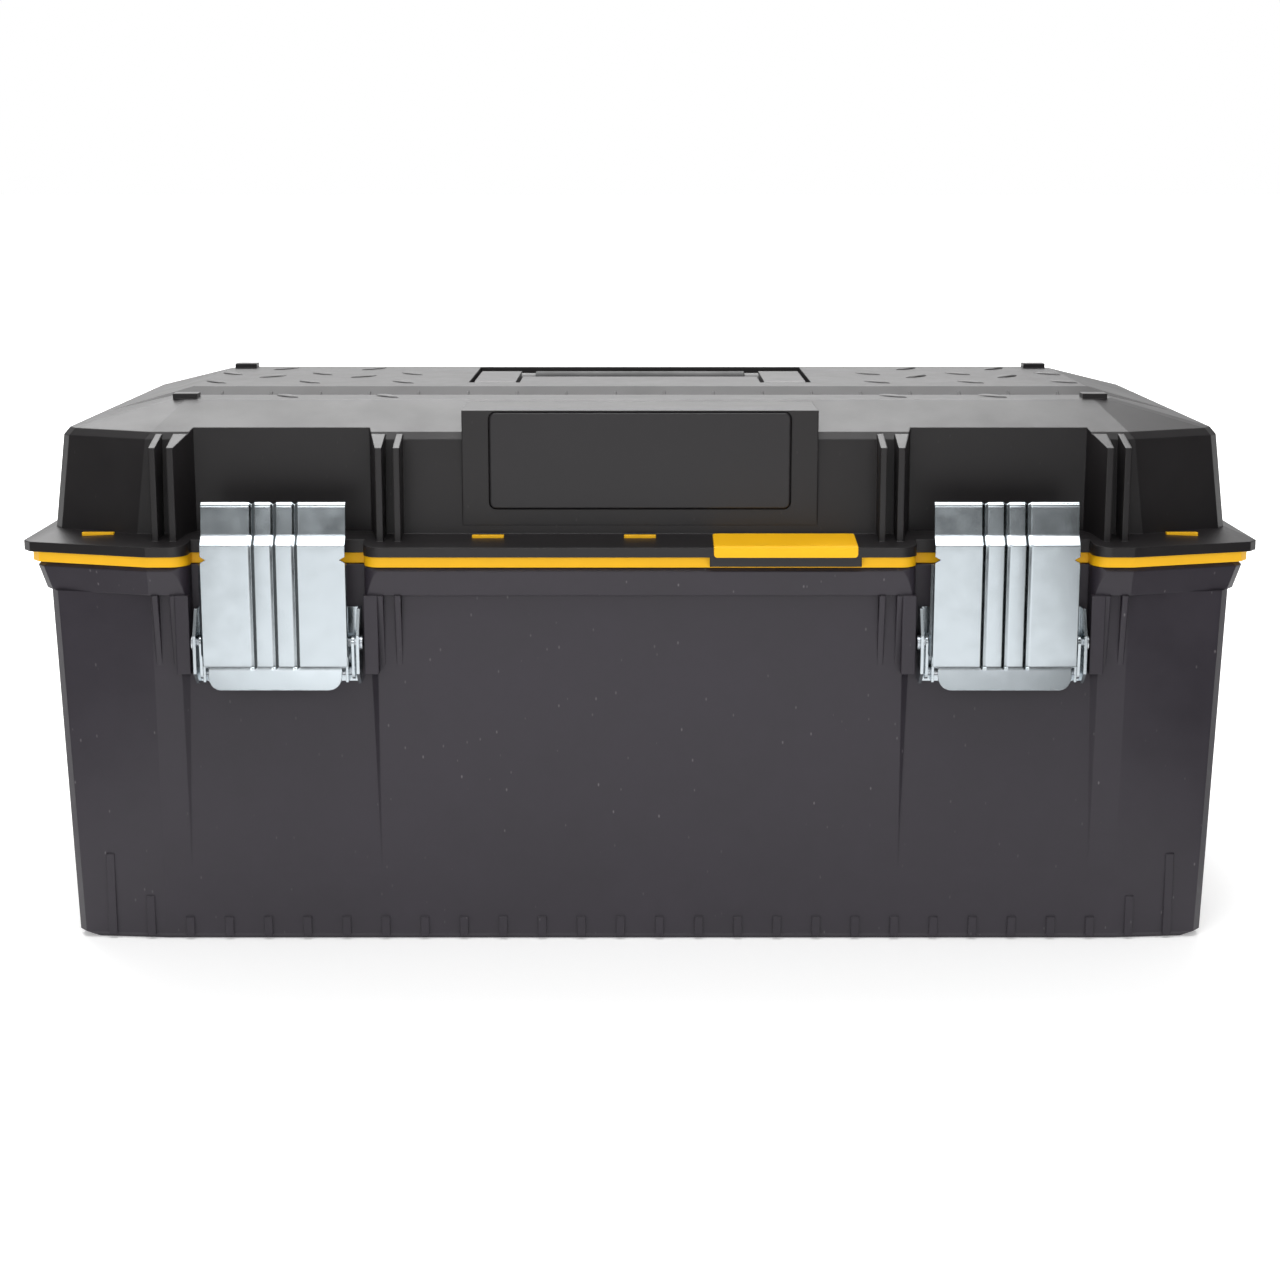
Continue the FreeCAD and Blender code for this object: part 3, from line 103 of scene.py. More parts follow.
class ToolBoxSizes(bpy.types.PropertyGroup):
    """The sizes of the pieces that are modelled here."""

    latch_half_width: length("Latch half width", 33.6 * MM, "Half width of the latch plate's face")
    latch_sheet: length("Latch sheet", 1.2 * MM, "Thickness of the latch plate's sheet")
    latch_edge: length("Latch edge", 0.22 * MM, "Rounding of the latch plate's cut edges")
    latch_face: length("Latch face", 3 * MM, "How far the plate's face lies behind the CAD lip's front")
    latch_bend: length("Latch bend", 12.6 * MM, "Height of the lip's bend above the CAD plate's lower end")
    latch_step: length("Latch step", 18.4 * MM, "Start of the step back, below the CAD plate's upper end")
    crease_pitch: length("Crease pitch", 10 * MM, "Spacing of the creases pressed into the latch plate")
    crease_depth: length("Crease depth", 0.9 * MM, "Depth of a pressed crease")
    crease_half_width: length("Crease half width", 1.8 * MM, "Half width of a pressed crease")
    crease_step_share: FloatProperty(name="Crease on the step", default=0.3, min=0, max=1,
                                     description="Share of the creases' depth left on the step")
    latch_over: length("Latch top", 1.5 * MM, "How far the rolled edge stands over the CAD plate")
    lip_lift: length("Lip lift", 1.5 * MM, "How far the lip ends above the CAD plate's lower end")
    notch_drop: length("Notch drop", 24.6 * MM, "Level of the side notches, below the CAD plate's upper end")
    notch_half_height: length("Notch half height", 1.5 * MM, "Half height of a side notch")
    notch_depth: length("Notch depth", 2.6 * MM, "Depth of a side notch")
    side_edge_low: length("Side edge low", 4 * MM, "Lower end of the edges bent back, above the lip's bend")
    side_edge_high: length("Side edge high", 27 * MM, "Upper end of those edges, below the CAD plate's")
    lug_reach: length("Lug reach", 34 * MM, "Place of a lug, from the latch's middle")
    lug_radius: length("Lug radius", 3.6 * MM, "Radius of a lug round the lever pin")
    lug_hole: length("Lug hole", 2.1 * MM, "Radius of the hole in a lug")
    lug_root: length("Lug root", 0.7 * MM, "How far a lug's root lies behind the plate's face")
    lug_rise: length("Lug rise", 6 * MM, "How far a lug's root runs up the plate")
    lip_half_width: length("Lip half width", 31.2 * MM, "Half width of the latch plate's lip")
    lip_corner: length("Lip corner", 6 * MM, "Corner radius of the latch plate's lip")
    tread_length: length("Tread length", 19 * MM, "Length of a tread on the lid's top")
    tread_width: length("Tread width", 6.4 * MM, "Width of a tread")
    tread_height: length("Tread height", 0.9 * MM, "Height of a tread above the lid's top")
    tread_foot: length("Tread foot", 0.2 * MM, "How far a tread's foot lies under the lid's top")
    tread_pitch: length("Tread pitch", 49.4 * MM, "Spacing of the treads along the lid")
    tread_inner: length("Tread inner", 125.3 * MM, "First column of treads, from the lid's middle")
    handle_sink: length("Handle sink", 0.2 * MM, "How far the folded handle lies below the lid's top")
    mark_pitch: length("Mark pitch", 25.4 * MM, "Spacing of the marks in the groove, one inch")
    mark_count: IntProperty(name="Marks", description="Marks in the groove on each side of the middle",
                            default=9, min=1)
    mark_width: length("Mark width", 1.2 * MM, "Width of a mark")
    mark_length: length("Mark length", 8 * MM, "Length of a mark up the groove's wall")
    mark_height: length("Mark height", 0.8 * MM, "Height of a mark, half of it under the wall's surface")
    mark_edge: length("Mark edge", 0.25 * MM, "Rounding of a mark's upper edges")
    mark_start: length("Mark start", 5.5 * MM, "Distance of a mark's upper end from the groove's edge")
    groove_back: length("Groove back", 22 * MM, "Back edge of the groove, before the middle")
    sill_front: length("Sill front", 123.6 * MM, "Front of the sills under the pockets, before the middle")
    sill_back: length("Sill back", 116.6 * MM, "Back of those sills, before the middle")
    sill_half_width: length("Sill half width", 42.4 * MM, "Half width of a sill at its back")
    sill_slant: length("Sill slant", 1.4 * MM, "How much wider a sill is at its front, on each side")
    sill_lift: length("Sill lift", 5.2 * MM, "Height of the sills' underside above the seal's")
    sill_height: length("Sill height", 7 * MM, "Height of a sill")
    sill_edge: length("Sill edge", 0.3 * MM, "Rounding of a sill's upper edges")
    gusset_near: length("Near gusset", 48.6 * MM, "Gusset next to a latch, from the latch's middle")
    gusset_far: length("Far gusset", 56.9 * MM, "Gusset farther from a latch, from the latch's middle")
    gusset_width: length("Gusset width", 3 * MM, "Width of a gusset")
    gusset_front: length("Gusset front", 146 * MM, "Front of a gusset at the rim, before the middle")
    gusset_root: length("Gusset root", 139.5 * MM, "Back of a gusset in the tub's wall, before the middle")
    gusset_run: length("Gusset run", 5.3 * MM, "How far a gusset tapers back down to its lower end")
    gusset_low: length("Gusset low", 137.5 * MM, "Lower end of a gusset")
    gusset_high: length("Gusset high", 172.6 * MM, "Upper end of a gusset, under the rim")
    gusset_edge: length("Gusset edge", 0.35 * MM, "Rounding of a gusset's front edges")
    pad_skin: length("Pad skin", 1 * MM, "Thickness of the lift pad's skin")
    pad_round: length("Pad rounding", 1.8 * MM, "Rounding of the lift pad over the flange's edge")
    pad_corner: length("Pad corner", 1.6 * MM, "Corner radius of the lift pad")
    pad_edge: length("Pad edge", 0.35 * MM, "Rounding of the lift pad's rim")
    plate_corner: length("Plate corner", 3 * MM, "Corner radius of the name plate")
    plate_edge: length("Plate edge", 0.8 * MM, "Rounding of the name plate's front edges")
    edge_round: length("Edge rounding", 0.9 * MM, "Soft rounding that a moulded edge shows")
    sheet_round: length("Sheet rounding", 0.3 * MM, "Soft rounding that a sheet metal edge shows")


def colours():
    return bpy.context.scene.tool_box_colours


def sizes():
    return bpy.context.scene.tool_box_sizes


# Materials


def add(tree, kind, sockets=None, **settings):
    """Add a node with its settings. A socket is given a value, or another node's output to link."""
    node = tree.nodes.new(kind)
    for name, value in settings.items():
        setattr(node, name, value)
    for name, value in (sockets or {}).items():
        if isinstance(value, bpy.types.NodeSocket):
            tree.links.new(value, node.inputs[name])
        else:
            node.inputs[name].default_value = value
    return node


def start_material(name):
    """An empty material with its shader and the object's own coordinates in metres."""
    material = bpy.data.materials.new(name)
    material.use_nodes = True
    tree = material.node_tree
    tree.nodes.clear()
    shader = add(tree, "ShaderNodeBsdfPrincipled")
    add(tree, "ShaderNodeOutputMaterial", {"Surface": shader.outputs["BSDF"]})
    place = add(tree, "ShaderNodeTexCoord").outputs["Object"]
    return material, tree, shader, place


def opaque(rgb):
    return (*rgb, 1)


def connect(tree, shader, tint, gloss, bump):
    """Link a finish's colour, gloss and relief to its shader."""
    tree.links.new(tint.outputs[2], shader.inputs["Base Color"])
    tree.links.new(gloss.outputs["Result"], shader.inputs["Roughness"])
    tree.links.new(bump.outputs["Normal"], shader.inputs["Normal"])


def moulded_plastic(name, rgb, light_rgb, roughness, specular, speck_share):
    """Moulded polypropylene or ABS: satin, with a fine grain, flow clouds and pale specks from the melt."""
    material, tree, shader, place = start_material(name)
    # Grain of about 0.6 mm, as spark-eroded tools leave it
    grain = add(tree, "ShaderNodeTexNoise", {"Vector": place, "Scale": 1 / (0.6 * MM), "Detail": 3})
    # Flow clouds of about 40 mm, which change the colour and, a little, the gloss
    cloud = add(tree, "ShaderNodeTexNoise", {"Vector": place, "Scale": 1 / (40 * MM), "Detail": 7,
                                             "Roughness": 0.7})
    # Specks about 1 mm across and twice as tall, some pale and most faint, as the melt draws them out
    drawn = add(tree, "ShaderNodeMapping", {"Vector": place, "Scale": (1, 1, 0.5)})
    speck = add(tree, "ShaderNodeTexVoronoi", {"Vector": drawn.outputs["Vector"], "Scale": 1 / (6 * MM),
                                               "Randomness": 1})
    dot = add(tree, "ShaderNodeMapRange", {"Value": speck.outputs["Distance"], "From Min": 0.03,
                                           "From Max": 0.09, "To Min": speck_share, "To Max": 0})
    uneven = add(tree, "ShaderNodeMath", {0: dot.outputs["Result"], 1: speck.outputs["Color"]},
                 operation="MULTIPLY")
    tint = add(tree, "ShaderNodeMix", {0: cloud.outputs["Fac"], 6: opaque([part * 0.8 for part in rgb]),
                                       7: opaque([part * 1.55 for part in rgb])}, data_type="RGBA")
    spotted = add(tree, "ShaderNodeMix", {0: uneven.outputs["Value"], 6: tint.outputs[2],
                                          7: opaque(light_rgb)}, data_type="RGBA")
    gloss = add(tree, "ShaderNodeMapRange", {"Value": cloud.outputs["Fac"], "From Min": 0.3, "From Max": 0.7,
                                             "To Min": roughness - 0.05, "To Max": roughness + 0.05})
    soft = add(tree, "ShaderNodeBevel", {"Radius": sizes().edge_round}, samples=6)
    bump = add(tree, "ShaderNodeBump", {"Height": grain.outputs["Fac"], "Strength": 0.18,
                                        "Distance": 0.1 * MM, "Normal": soft.outputs["Normal"]})
    connect(tree, shader, spotted, gloss, bump)
    shader.inputs["Specular IOR Level"].default_value = specular
    return material


def soft_rubber(name, rgb, roughness):
    """Moulded thermoplastic rubber: soft matte, a little deeper in colour where it has been handled."""
    material, tree, shader, place = start_material(name)
    # Fine matte grain of about 0.5 mm
    grain = add(tree, "ShaderNodeTexNoise", {"Vector": place, "Scale": 1 / (0.5 * MM), "Detail": 2})
    # Handling marks of about 25 mm
    cloud = add(tree, "ShaderNodeTexNoise", {"Vector": place, "Scale": 1 / (25 * MM), "Detail": 4})
    tint = add(tree, "ShaderNodeMix", {0: cloud.outputs["Fac"], 6: opaque([part * 0.9 for part in rgb]),
                                       7: opaque(rgb)}, data_type="RGBA")
    gloss = add(tree, "ShaderNodeMapRange", {"Value": cloud.outputs["Fac"], "From Min": 0.3, "From Max": 0.7,
                                             "To Min": roughness - 0.06, "To Max": roughness + 0.06})
    soft = add(tree, "ShaderNodeBevel", {"Radius": sizes().edge_round}, samples=6)
    bump = add(tree, "ShaderNodeBump", {"Height": grain.outputs["Fac"], "Strength": 0.15,
                                        "Distance": 0.1 * MM, "Normal": soft.outputs["Normal"]})
    connect(tree, shader, tint, gloss, bump)
    shader.inputs["Specular IOR Level"].default_value = 0.3
    return material


def plated_steel(name, rgb, roughness, wave):
    """Zinc plated steel: bluish and bright, with the faint rolling grain and waviness of pressed sheet."""
    material, tree, shader, place = start_material(name)
    # Rolling grain: streaks about 0.4 mm wide and 20 mm long, upright on the sheet
    streak = add(tree, "ShaderNodeMapping", {"Vector": place, "Scale": (1, 1, 0.02)})
    grain = add(tree, "ShaderNodeTexNoise", {"Vector": streak.outputs["Vector"], "Scale": 1 / (0.4 * MM),
                                             "Detail": 3})
    # Plating bloom of about 9 mm
    bloom = add(tree, "ShaderNodeTexNoise", {"Vector": place, "Scale": 1 / (9 * MM), "Detail": 4})
    # Waviness of about 30 mm that bends the reflections
    swell = add(tree, "ShaderNodeTexNoise", {"Vector": place, "Scale": 1 / (30 * MM), "Detail": 1})
    tint = add(tree, "ShaderNodeMix", {0: bloom.outputs["Fac"], 6: opaque([part * 0.95 for part in rgb]),
                                       7: opaque(rgb)}, data_type="RGBA")
    gloss = add(tree, "ShaderNodeMapRange", {"Value": bloom.outputs["Fac"], "From Min": 0.3, "From Max": 0.7,
                                             "To Min": roughness - 0.03, "To Max": roughness + 0.05})
    soft = add(tree, "ShaderNodeBevel", {"Radius": sizes().sheet_round}, samples=6)
    waves = add(tree, "ShaderNodeBump", {"Height": swell.outputs["Fac"], "Strength": wave,
                                         "Distance": 0.6 * MM, "Normal": soft.outputs["Normal"]})
    bump = add(tree, "ShaderNodeBump", {"Height": grain.outputs["Fac"], "Strength": 0.05,
                                        "Distance": 0.05 * MM, "Normal": waves.outputs["Normal"]})
    connect(tree, shader, tint, gloss, bump)
    shader.inputs["Metallic"].default_value = 1
    return material


def dress(material, *nodes):
    """Give CAD nodes a material in all their slots."""
    for node in nodes:
        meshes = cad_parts[node].data
        for at in range(len(meshes.materials)):
            meshes.materials[at] = material
        if not meshes.materials:
            meshes.materials.append(material)


# Modelling


def begin():
    """Leave edit mode and select nothing."""
    if bpy.context.object and bpy.context.object.mode != "OBJECT":
        bpy.ops.object.mode_set(mode="OBJECT")
    bpy.ops.object.select_all(action="DESELECT")


def edit(piece):
    bpy.context.view_layer.objects.active = piece
    bpy.ops.object.mode_set(mode="EDIT")


def choose(piece, kind, test):
    """In edit mode, select the vertices, edges or faces that pass a test, and only those."""
    bpy.ops.mesh.select_mode(type={"verts": "VERT", "edges": "EDGE", "faces": "FACE"}[kind])
    bpy.ops.mesh.select_all(action="DESELECT")
    mesh = bmesh.from_edit_mesh(piece.data)
    found = [item for item in getattr(mesh, kind) if test(item)]
    if not found:
        raise RuntimeError(f"nothing to select among the {kind} of {piece.name}")
    for item in found:
        item.select_set(True)
    mesh.select_flush_mode()
    bmesh.update_edit_mesh(piece.data)


def near(value, target, room=0.05 * MM):
    return abs(value - target) < room


def pull(move):
    """Extrude what is selected and move it."""
    bpy.ops.mesh.extrude_region_move(TRANSFORM_OT_translate={"value": move})


def slice_at(point, normal):
    """Cut a line through the whole piece along a plane."""
    bpy.ops.mesh.select_all(action="SELECT")
    bpy.ops.mesh.bisect(plane_co=point, plane_no=normal)


def apply_modifier(piece, kind, **settings):
    """Add a modifier with its settings and apply it."""
    modifier = piece.modifiers.new(kind.title(), kind)
    for name, value in settings.items():
        setattr(modifier, name, value)
    bpy.ops.object.modifier_apply(modifier=modifier.name)


def join(pieces, name):
    """Make one named piece of several."""
    begin()
    for piece in pieces:
        piece.select_set(True)
    bpy.context.view_layer.objects.active = pieces[0]
    bpy.ops.object.join()
    pieces[0].name = name
    return pieces[0]


def copy_to(piece, place, turn):
    """A copy of a piece, with a mesh of its own, at a place and turned."""
    begin()
    piece.select_set(True)
    bpy.context.view_layer.objects.active = piece
    bpy.ops.object.duplicate(linked=False)
    copy = bpy.context.object
    copy.rotation_euler = turn
    copy.location = place
    return copy


def lid_top():
    return corner("handle_frame", 1, "z") + sizes().handle_sink


def latch_middle(name):
    return (corner(f"latch_plate_{name}", 0, "x") + corner(f"latch_plate_{name}", 1, "x")) / 2


def hand_over(piece, material, slot, body, *nodes):
    """Put the piece's place in its mesh, smooth it, and let it ride on its body."""
    begin()
    piece.select_set(True)
    bpy.context.view_layer.objects.active = piece
    bpy.ops.object.transform_apply(location=True, rotation=True, scale=True)
    bpy.ops.object.shade_smooth_by_angle(angle=SMOOTH_ANGLE)
    # Wide faces stay flat in the light, and only the bends and bevels between them shade round
    apply_modifier(piece, "WEIGHTED_NORMAL", keep_sharp=True)
    piece.data.materials.clear()
    piece.data.materials.append(material)
    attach(piece, body)
    if nodes:
        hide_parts(*nodes)


class TOOLBOX_OT_stage(bpy.types.Operator):
    """Set up the floor, the soft studio light and the camera"""

    bl_idname = "toolbox.stage"
    bl_label = "Studio Stage"

    floor_span = 60
    # Dark cards beside the box: name, place along it and a painted glow that stands in for the light that
    # spills on them
    cards = (("left", -0.39, 0.12), ("right", 0.36, 0))
    card_depth, card_level = -0.5, 0.45
    card_height, card_length = 0.9, 0.8
    # Soft boxes: name, place, width, height and watts, all aimed at the box's middle
    soft_boxes = (
        ("key_light", (-0.65, -2.0, 0.98), 1.4, 0.5, 6.5),
        ("fill_light", (0.75, -2.0, 0.98), 1.4, 0.5, 3.6),
        ("top_light", (0, -0.6, 1.75), 1.2, 0.6, 12),
        ("back_light", (-0.3, 1.8, 2.25), 2.6, 2.6, 88),
    )
    aim_point = (0, 0, 0.15)
    # Camera: its place, its tilt from straight down, its lens on a 36 mm sensor, and the picture's shift
    eye = (0, -1.0975, 0.3687)
    tilt = math.radians(80)
    sensor_mm, lens_mm, shift_up = 36, 58.36, -0.081

    def execute(self, context):
        self.floor()
        self.flags()
        self.light(context.scene)
        self.camera(context.scene)
        return {"FINISHED"}

    def floor(self):
        begin()
        bpy.ops.mesh.primitive_plane_add(size=self.floor_span, location=(0, 0, 0))
        floor = bpy.context.object
        floor.name = "studio_floor"
        # Seamless paper: white, matte, with a faint fibre
        material, tree, shader, place = start_material("seamless_paper_matte")
        fibre = add(tree, "ShaderNodeTexNoise", {"Vector": place, "Scale": 1 / (3 * MM), "Detail": 2})
        tint = add(tree, "ShaderNodeMix", {0: fibre.outputs["Fac"],
                                           6: opaque([part * 0.985 for part in colours().floor]),
                                           7: opaque(colours().floor)}, data_type="RGBA")
        tree.links.new(tint.outputs[2], shader.inputs["Base Color"])
        shader.inputs["Roughness"].default_value = 0.9
        shader.inputs["Specular IOR Level"].default_value = 0.1
        shader.inputs["Emission Color"].default_value = (1, 1, 1, 1)
        # The paper takes more light away from the box, where it runs into the white
        far = add(tree, "ShaderNodeVectorMath", {0: place, 1: (0, -0.8, 0)}, operation="DISTANCE")
        lift = add(tree, "ShaderNodeMapRange", {"Value": far.outputs["Value"], "From Min": 1.2,
                                                "From Max": 3.3, "To Min": 0.28, "To Max": 0.65})
        tree.links.new(lift.outputs["Result"], shader.inputs["Emission Strength"])
        floor.data.materials.append(material)

    def flags(self):
        """Dark cards beside the box that only reflections show, so that its swept ends fall off in tone."""
        for name, x, glow in self.cards:
            begin()
            bpy.ops.mesh.primitive_plane_add(size=1, location=(x, self.card_depth, self.card_level),
                                             rotation=(0, math.pi / 2, 0))
            card = bpy.context.object
            card.name = f"studio_flag_{name}"
            card.scale = (self.card_height, self.card_length, 1)
            bpy.ops.object.transform_apply(location=True, rotation=True, scale=True)
            # Black felt: no gloss, with a painted glow that stands in for the little light the key light
            # would spill on the card
            material, _, shader, _ = start_material(f"black_felt_{name}")
            shader.inputs["Base Color"].default_value = (0, 0, 0, 1)
            shader.inputs["Specular IOR Level"].default_value = 0
            shader.inputs["Emission Color"].default_value = (1, 1, 1, 1)
            shader.inputs["Emission Strength"].default_value = glow
            card.data.materials.append(material)
            card.visible_camera = False
            card.visible_diffuse = False
            card.visible_shadow = False

    def light(self, scene):
        world = bpy.data.worlds.new("studio_white")
        scene.world = world
        world.use_nodes = True
        tree = world.node_tree
        tree.nodes.clear()
        # White low behind the box, dimmer higher up, to the sides and towards the camera, as a sweep is
        way = add(tree, "ShaderNodeTexCoord").outputs["Generated"]
        lean = add(tree, "ShaderNodeVectorMath", {0: way, 1: (0, 1, 1.3)}, operation="DOT_PRODUCT")
        depth = add(tree, "ShaderNodeMapRange", {"Value": lean.outputs["Value"], "From Min": -1,
                                                 "From Max": 0.2, "To Min": 0.16, "To Max": 1.0},
                    interpolation_type="SMOOTHSTEP")
        rise = add(tree, "ShaderNodeSeparateXYZ", {"Vector": way})
        fade = add(tree, "ShaderNodeMapRange", {"Value": rise.outputs["Z"], "From Min": 0.09,
                                                "From Max": 0.25, "To Min": 1, "To Max": 0.7})
        aside = add(tree, "ShaderNodeMath", {0: rise.outputs["X"]}, operation="ABSOLUTE")
        sides = add(tree, "ShaderNodeMapRange", {"Value": aside.outputs["Value"], "From Min": 0.35,
                                                 "From Max": 0.8, "To Min": 1, "To Max": 0.35})
        above = add(tree, "ShaderNodeMath", {0: depth.outputs["Result"], 1: fade.outputs["Result"]},
                    operation="MULTIPLY")
        power = add(tree, "ShaderNodeMath", {0: above.outputs["Value"], 1: sides.outputs["Result"]},
                    operation="MULTIPLY")
        ground = add(tree, "ShaderNodeBackground", {"Color": (1, 1, 1, 1),
                                                    "Strength": power.outputs["Value"]})
        add(tree, "ShaderNodeOutputWorld", {"Surface": ground.outputs["Background"]})
        for name, place, width, height, watts in self.soft_boxes:
            begin()
            aim = (Vector(self.aim_point) - Vector(place)).to_track_quat("-Z", "Y").to_euler()
            bpy.ops.object.light_add(type="AREA", location=place, rotation=aim)
            lamp = bpy.context.object
            lamp.name = name
            lamp.data.shape = "RECTANGLE"
            lamp.data.size = width
            lamp.data.size_y = height
            lamp.data.energy = watts
        scene.view_settings.view_transform = "Standard"

    def camera(self, scene):
        begin()
        bpy.ops.object.camera_add(location=self.eye, rotation=(self.tilt, 0, 0))
        camera = bpy.context.object
        camera.name = "photo_camera"
        camera.data.sensor_width = self.sensor_mm
        camera.data.lens = self.lens_mm
        camera.data.shift_y = self.shift_up
        camera.data.clip_start = 0.05
        scene.camera = camera


class TOOLBOX_OT_shells(bpy.types.Operator):
    """Dress the tub, the lid and the tray in moulded plastic"""

    bl_idname = "toolbox.shells"
    bl_label = "Tub, Lid and Tray"

    def execute(self, context):
        tints = colours()
        dress(moulded_plastic("structural_foam_moulded", tints.tub, srgb("#8A8688"), roughness=0.46,
                              specular=0.42, speck_share=0.55), "tub_shell")
        dress(moulded_plastic("polypropylene_moulded_lid", tints.lid, srgb("#5A5658"), roughness=0.42,
                              specular=0.4, speck_share=0.2), "lid_shell")
        dress(moulded_plastic("polypropylene_moulded_tray", tints.lid, srgb("#4A4648"), roughness=0.42,
                              specular=0.4, speck_share=0.15), "tote_tray")
        return {"FINISHED"}


class TOOLBOX_OT_treads(bpy.types.Operator):
    """Model the raised treads on the lid's top"""

    bl_idname = "toolbox.treads"
    bl_label = "Lid Treads"

    # Rows: depth from the lid's middle, columns on each side, their shift in columns, and the treads' lean
    rows = (
        (-72 * MM, 2, 0, -45), (-2 * MM, 3, 0, -45), (43 * MM, 3, 0, -45),
        (28 * MM, 2, 0.5, 45), (72 * MM, 2, 0.5, 45),
    )
    # Where a tread's points begin, as a share of its length, and how narrow they get
    point_share, point_width_share = 0.36, 0.62
    # Rises as shares of a tread's height, each with its outline as a share of the one below
    crown_shares = ((0.55, 0.84), (0.35, 0.66), (0.1, 0.5))

    def execute(self, context):
        size = sizes()
        top = lid_top()
        first = self.tread(size, top)
        copies = [copy_to(first, (x, y, top), (0, 0, turn)) for x, y, turn in self.places(size)]
        bpy.data.objects.remove(first)
        treads = join(copies, "lid_treads")
        hand_over(treads, bpy.data.materials["polypropylene_moulded_lid"], "lid_plastic", "lid")
        return {"FINISHED"}

    def tread(self, size, top):
        """One low lens with pointed ends, its foot just under the surface."""
        begin()
        bpy.ops.mesh.primitive_circle_add(vertices=20, radius=0.5, fill_type="NGON", location=(0, 0, top))
        piece = bpy.context.object
        piece.scale = (size.tread_length, size.tread_width, 1)
        bpy.ops.object.transform_apply(location=False, rotation=False, scale=True)
        edit(piece)
        choose(piece, "verts", lambda vert: abs(vert.co.x) > self.point_share * size.tread_length)
        bpy.ops.transform.resize(value=(1, self.point_width_share, 1), center_override=(0, 0, top))
        choose(piece, "faces", lambda face: True)
        bpy.ops.transform.translate(value=(0, 0, -size.tread_foot))
        foot = size.tread_foot
        for rise_share, share in self.crown_shares:
            pull((0, 0, foot + rise_share * size.tread_height))
            bpy.ops.transform.resize(value=(share, share, 1), center_override=(0, 0, top))
            foot = 0
        bpy.ops.object.mode_set(mode="OBJECT")
        return piece

    def places(self, size):
        """Where the treads lie: rows behind the groove, beside the handle, and one on the front lip."""
        for side in (-1, 1):
            for y, count, shift, lean in self.rows:
                for column in range(count):
                    x = side * (size.tread_inner + (column + shift) * size.tread_pitch)
                    yield x, y, math.radians(lean)


class TOOLBOX_OT_pocket_sills(bpy.types.Operator):
    """Model the sills that close the lid under its latch pockets"""

    bl_idname = "toolbox.pocket_sills"
    bl_label = "Pocket Sills"

    def execute(self, context):
        size = sizes()
        low = corner("lid_seal", 0, "z") + size.sill_lift
        sills = join([self.bar(size, latch_middle(name), low) for name in SIDES], "lid_pocket_sills")
        hand_over(sills, bpy.data.materials["polypropylene_moulded_lid"], "lid_plastic", "lid")
        return {"FINISHED"}

    def bar(self, size, middle, low):
        """One bar between the flange and the pocket's face, wider at its front, as the pocket is."""
        begin()
        bpy.ops.mesh.primitive_cube_add(size=1, location=(middle, -(size.sill_front + size.sill_back) / 2,
                                                          low + size.sill_height / 2))
        piece = bpy.context.object
        piece.scale = (size.sill_half_width * 2, size.sill_front - size.sill_back, size.sill_height)
        bpy.ops.object.transform_apply(location=True, rotation=False, scale=True)
        edit(piece)
        choose(piece, "verts", lambda vert: near(vert.co.y, -size.sill_front))
        bpy.ops.transform.resize(value=(1 + size.sill_slant / size.sill_half_width, 1, 1),
                                 center_override=(middle, 0, 0))
        choose(piece, "faces", lambda face: face.normal.z > 0.9)
        bpy.ops.mesh.bevel(offset=size.sill_edge, segments=2, affect="EDGES")
        bpy.ops.object.mode_set(mode="OBJECT")
        return piece


class TOOLBOX_OT_gussets(bpy.types.Operator):
    """Model the long gussets under the tub's rim beside the latches"""

    bl_idname = "toolbox.gussets"
    bl_label = "Rim Gussets"

    def execute(self, context):
        size = sizes()
        wedges = []
        for name in SIDES:
            for side in (-1, 1):
                for reach in (size.gusset_near, size.gusset_far):
                    wedges.append(self.wedge(size, latch_middle(name) + side * reach))
        gussets = join(wedges, "rim_gussets")
        hand_over(gussets, bpy.data.materials["structural_foam_moulded"], "moulded_foam", "tub")
        return {"FINISHED"}

    def wedge(self, size, x):
        """One gusset that tapers back into the tub's wall."""
        begin()
        bpy.ops.mesh.primitive_cube_add(size=1, location=(x, -(size.gusset_front + size.gusset_root) / 2,
                                                          (size.gusset_low + size.gusset_high) / 2))
        piece = bpy.context.object
        piece.scale = (size.gusset_width, size.gusset_front - size.gusset_root,
                       size.gusset_high - size.gusset_low)
        bpy.ops.object.transform_apply(location=True, rotation=False, scale=True)
        edit(piece)
        choose(piece, "verts", lambda vert: near(vert.co.y, -size.gusset_front)
               and near(vert.co.z, size.gusset_low))
        bpy.ops.transform.translate(value=(0, size.gusset_run, 0))
        choose(piece, "faces", lambda face: face.normal.y < -0.5)
        bpy.ops.mesh.bevel(offset=size.gusset_edge, segments=2, affect="EDGES")
        bpy.ops.object.mode_set(mode="OBJECT")
        return piece


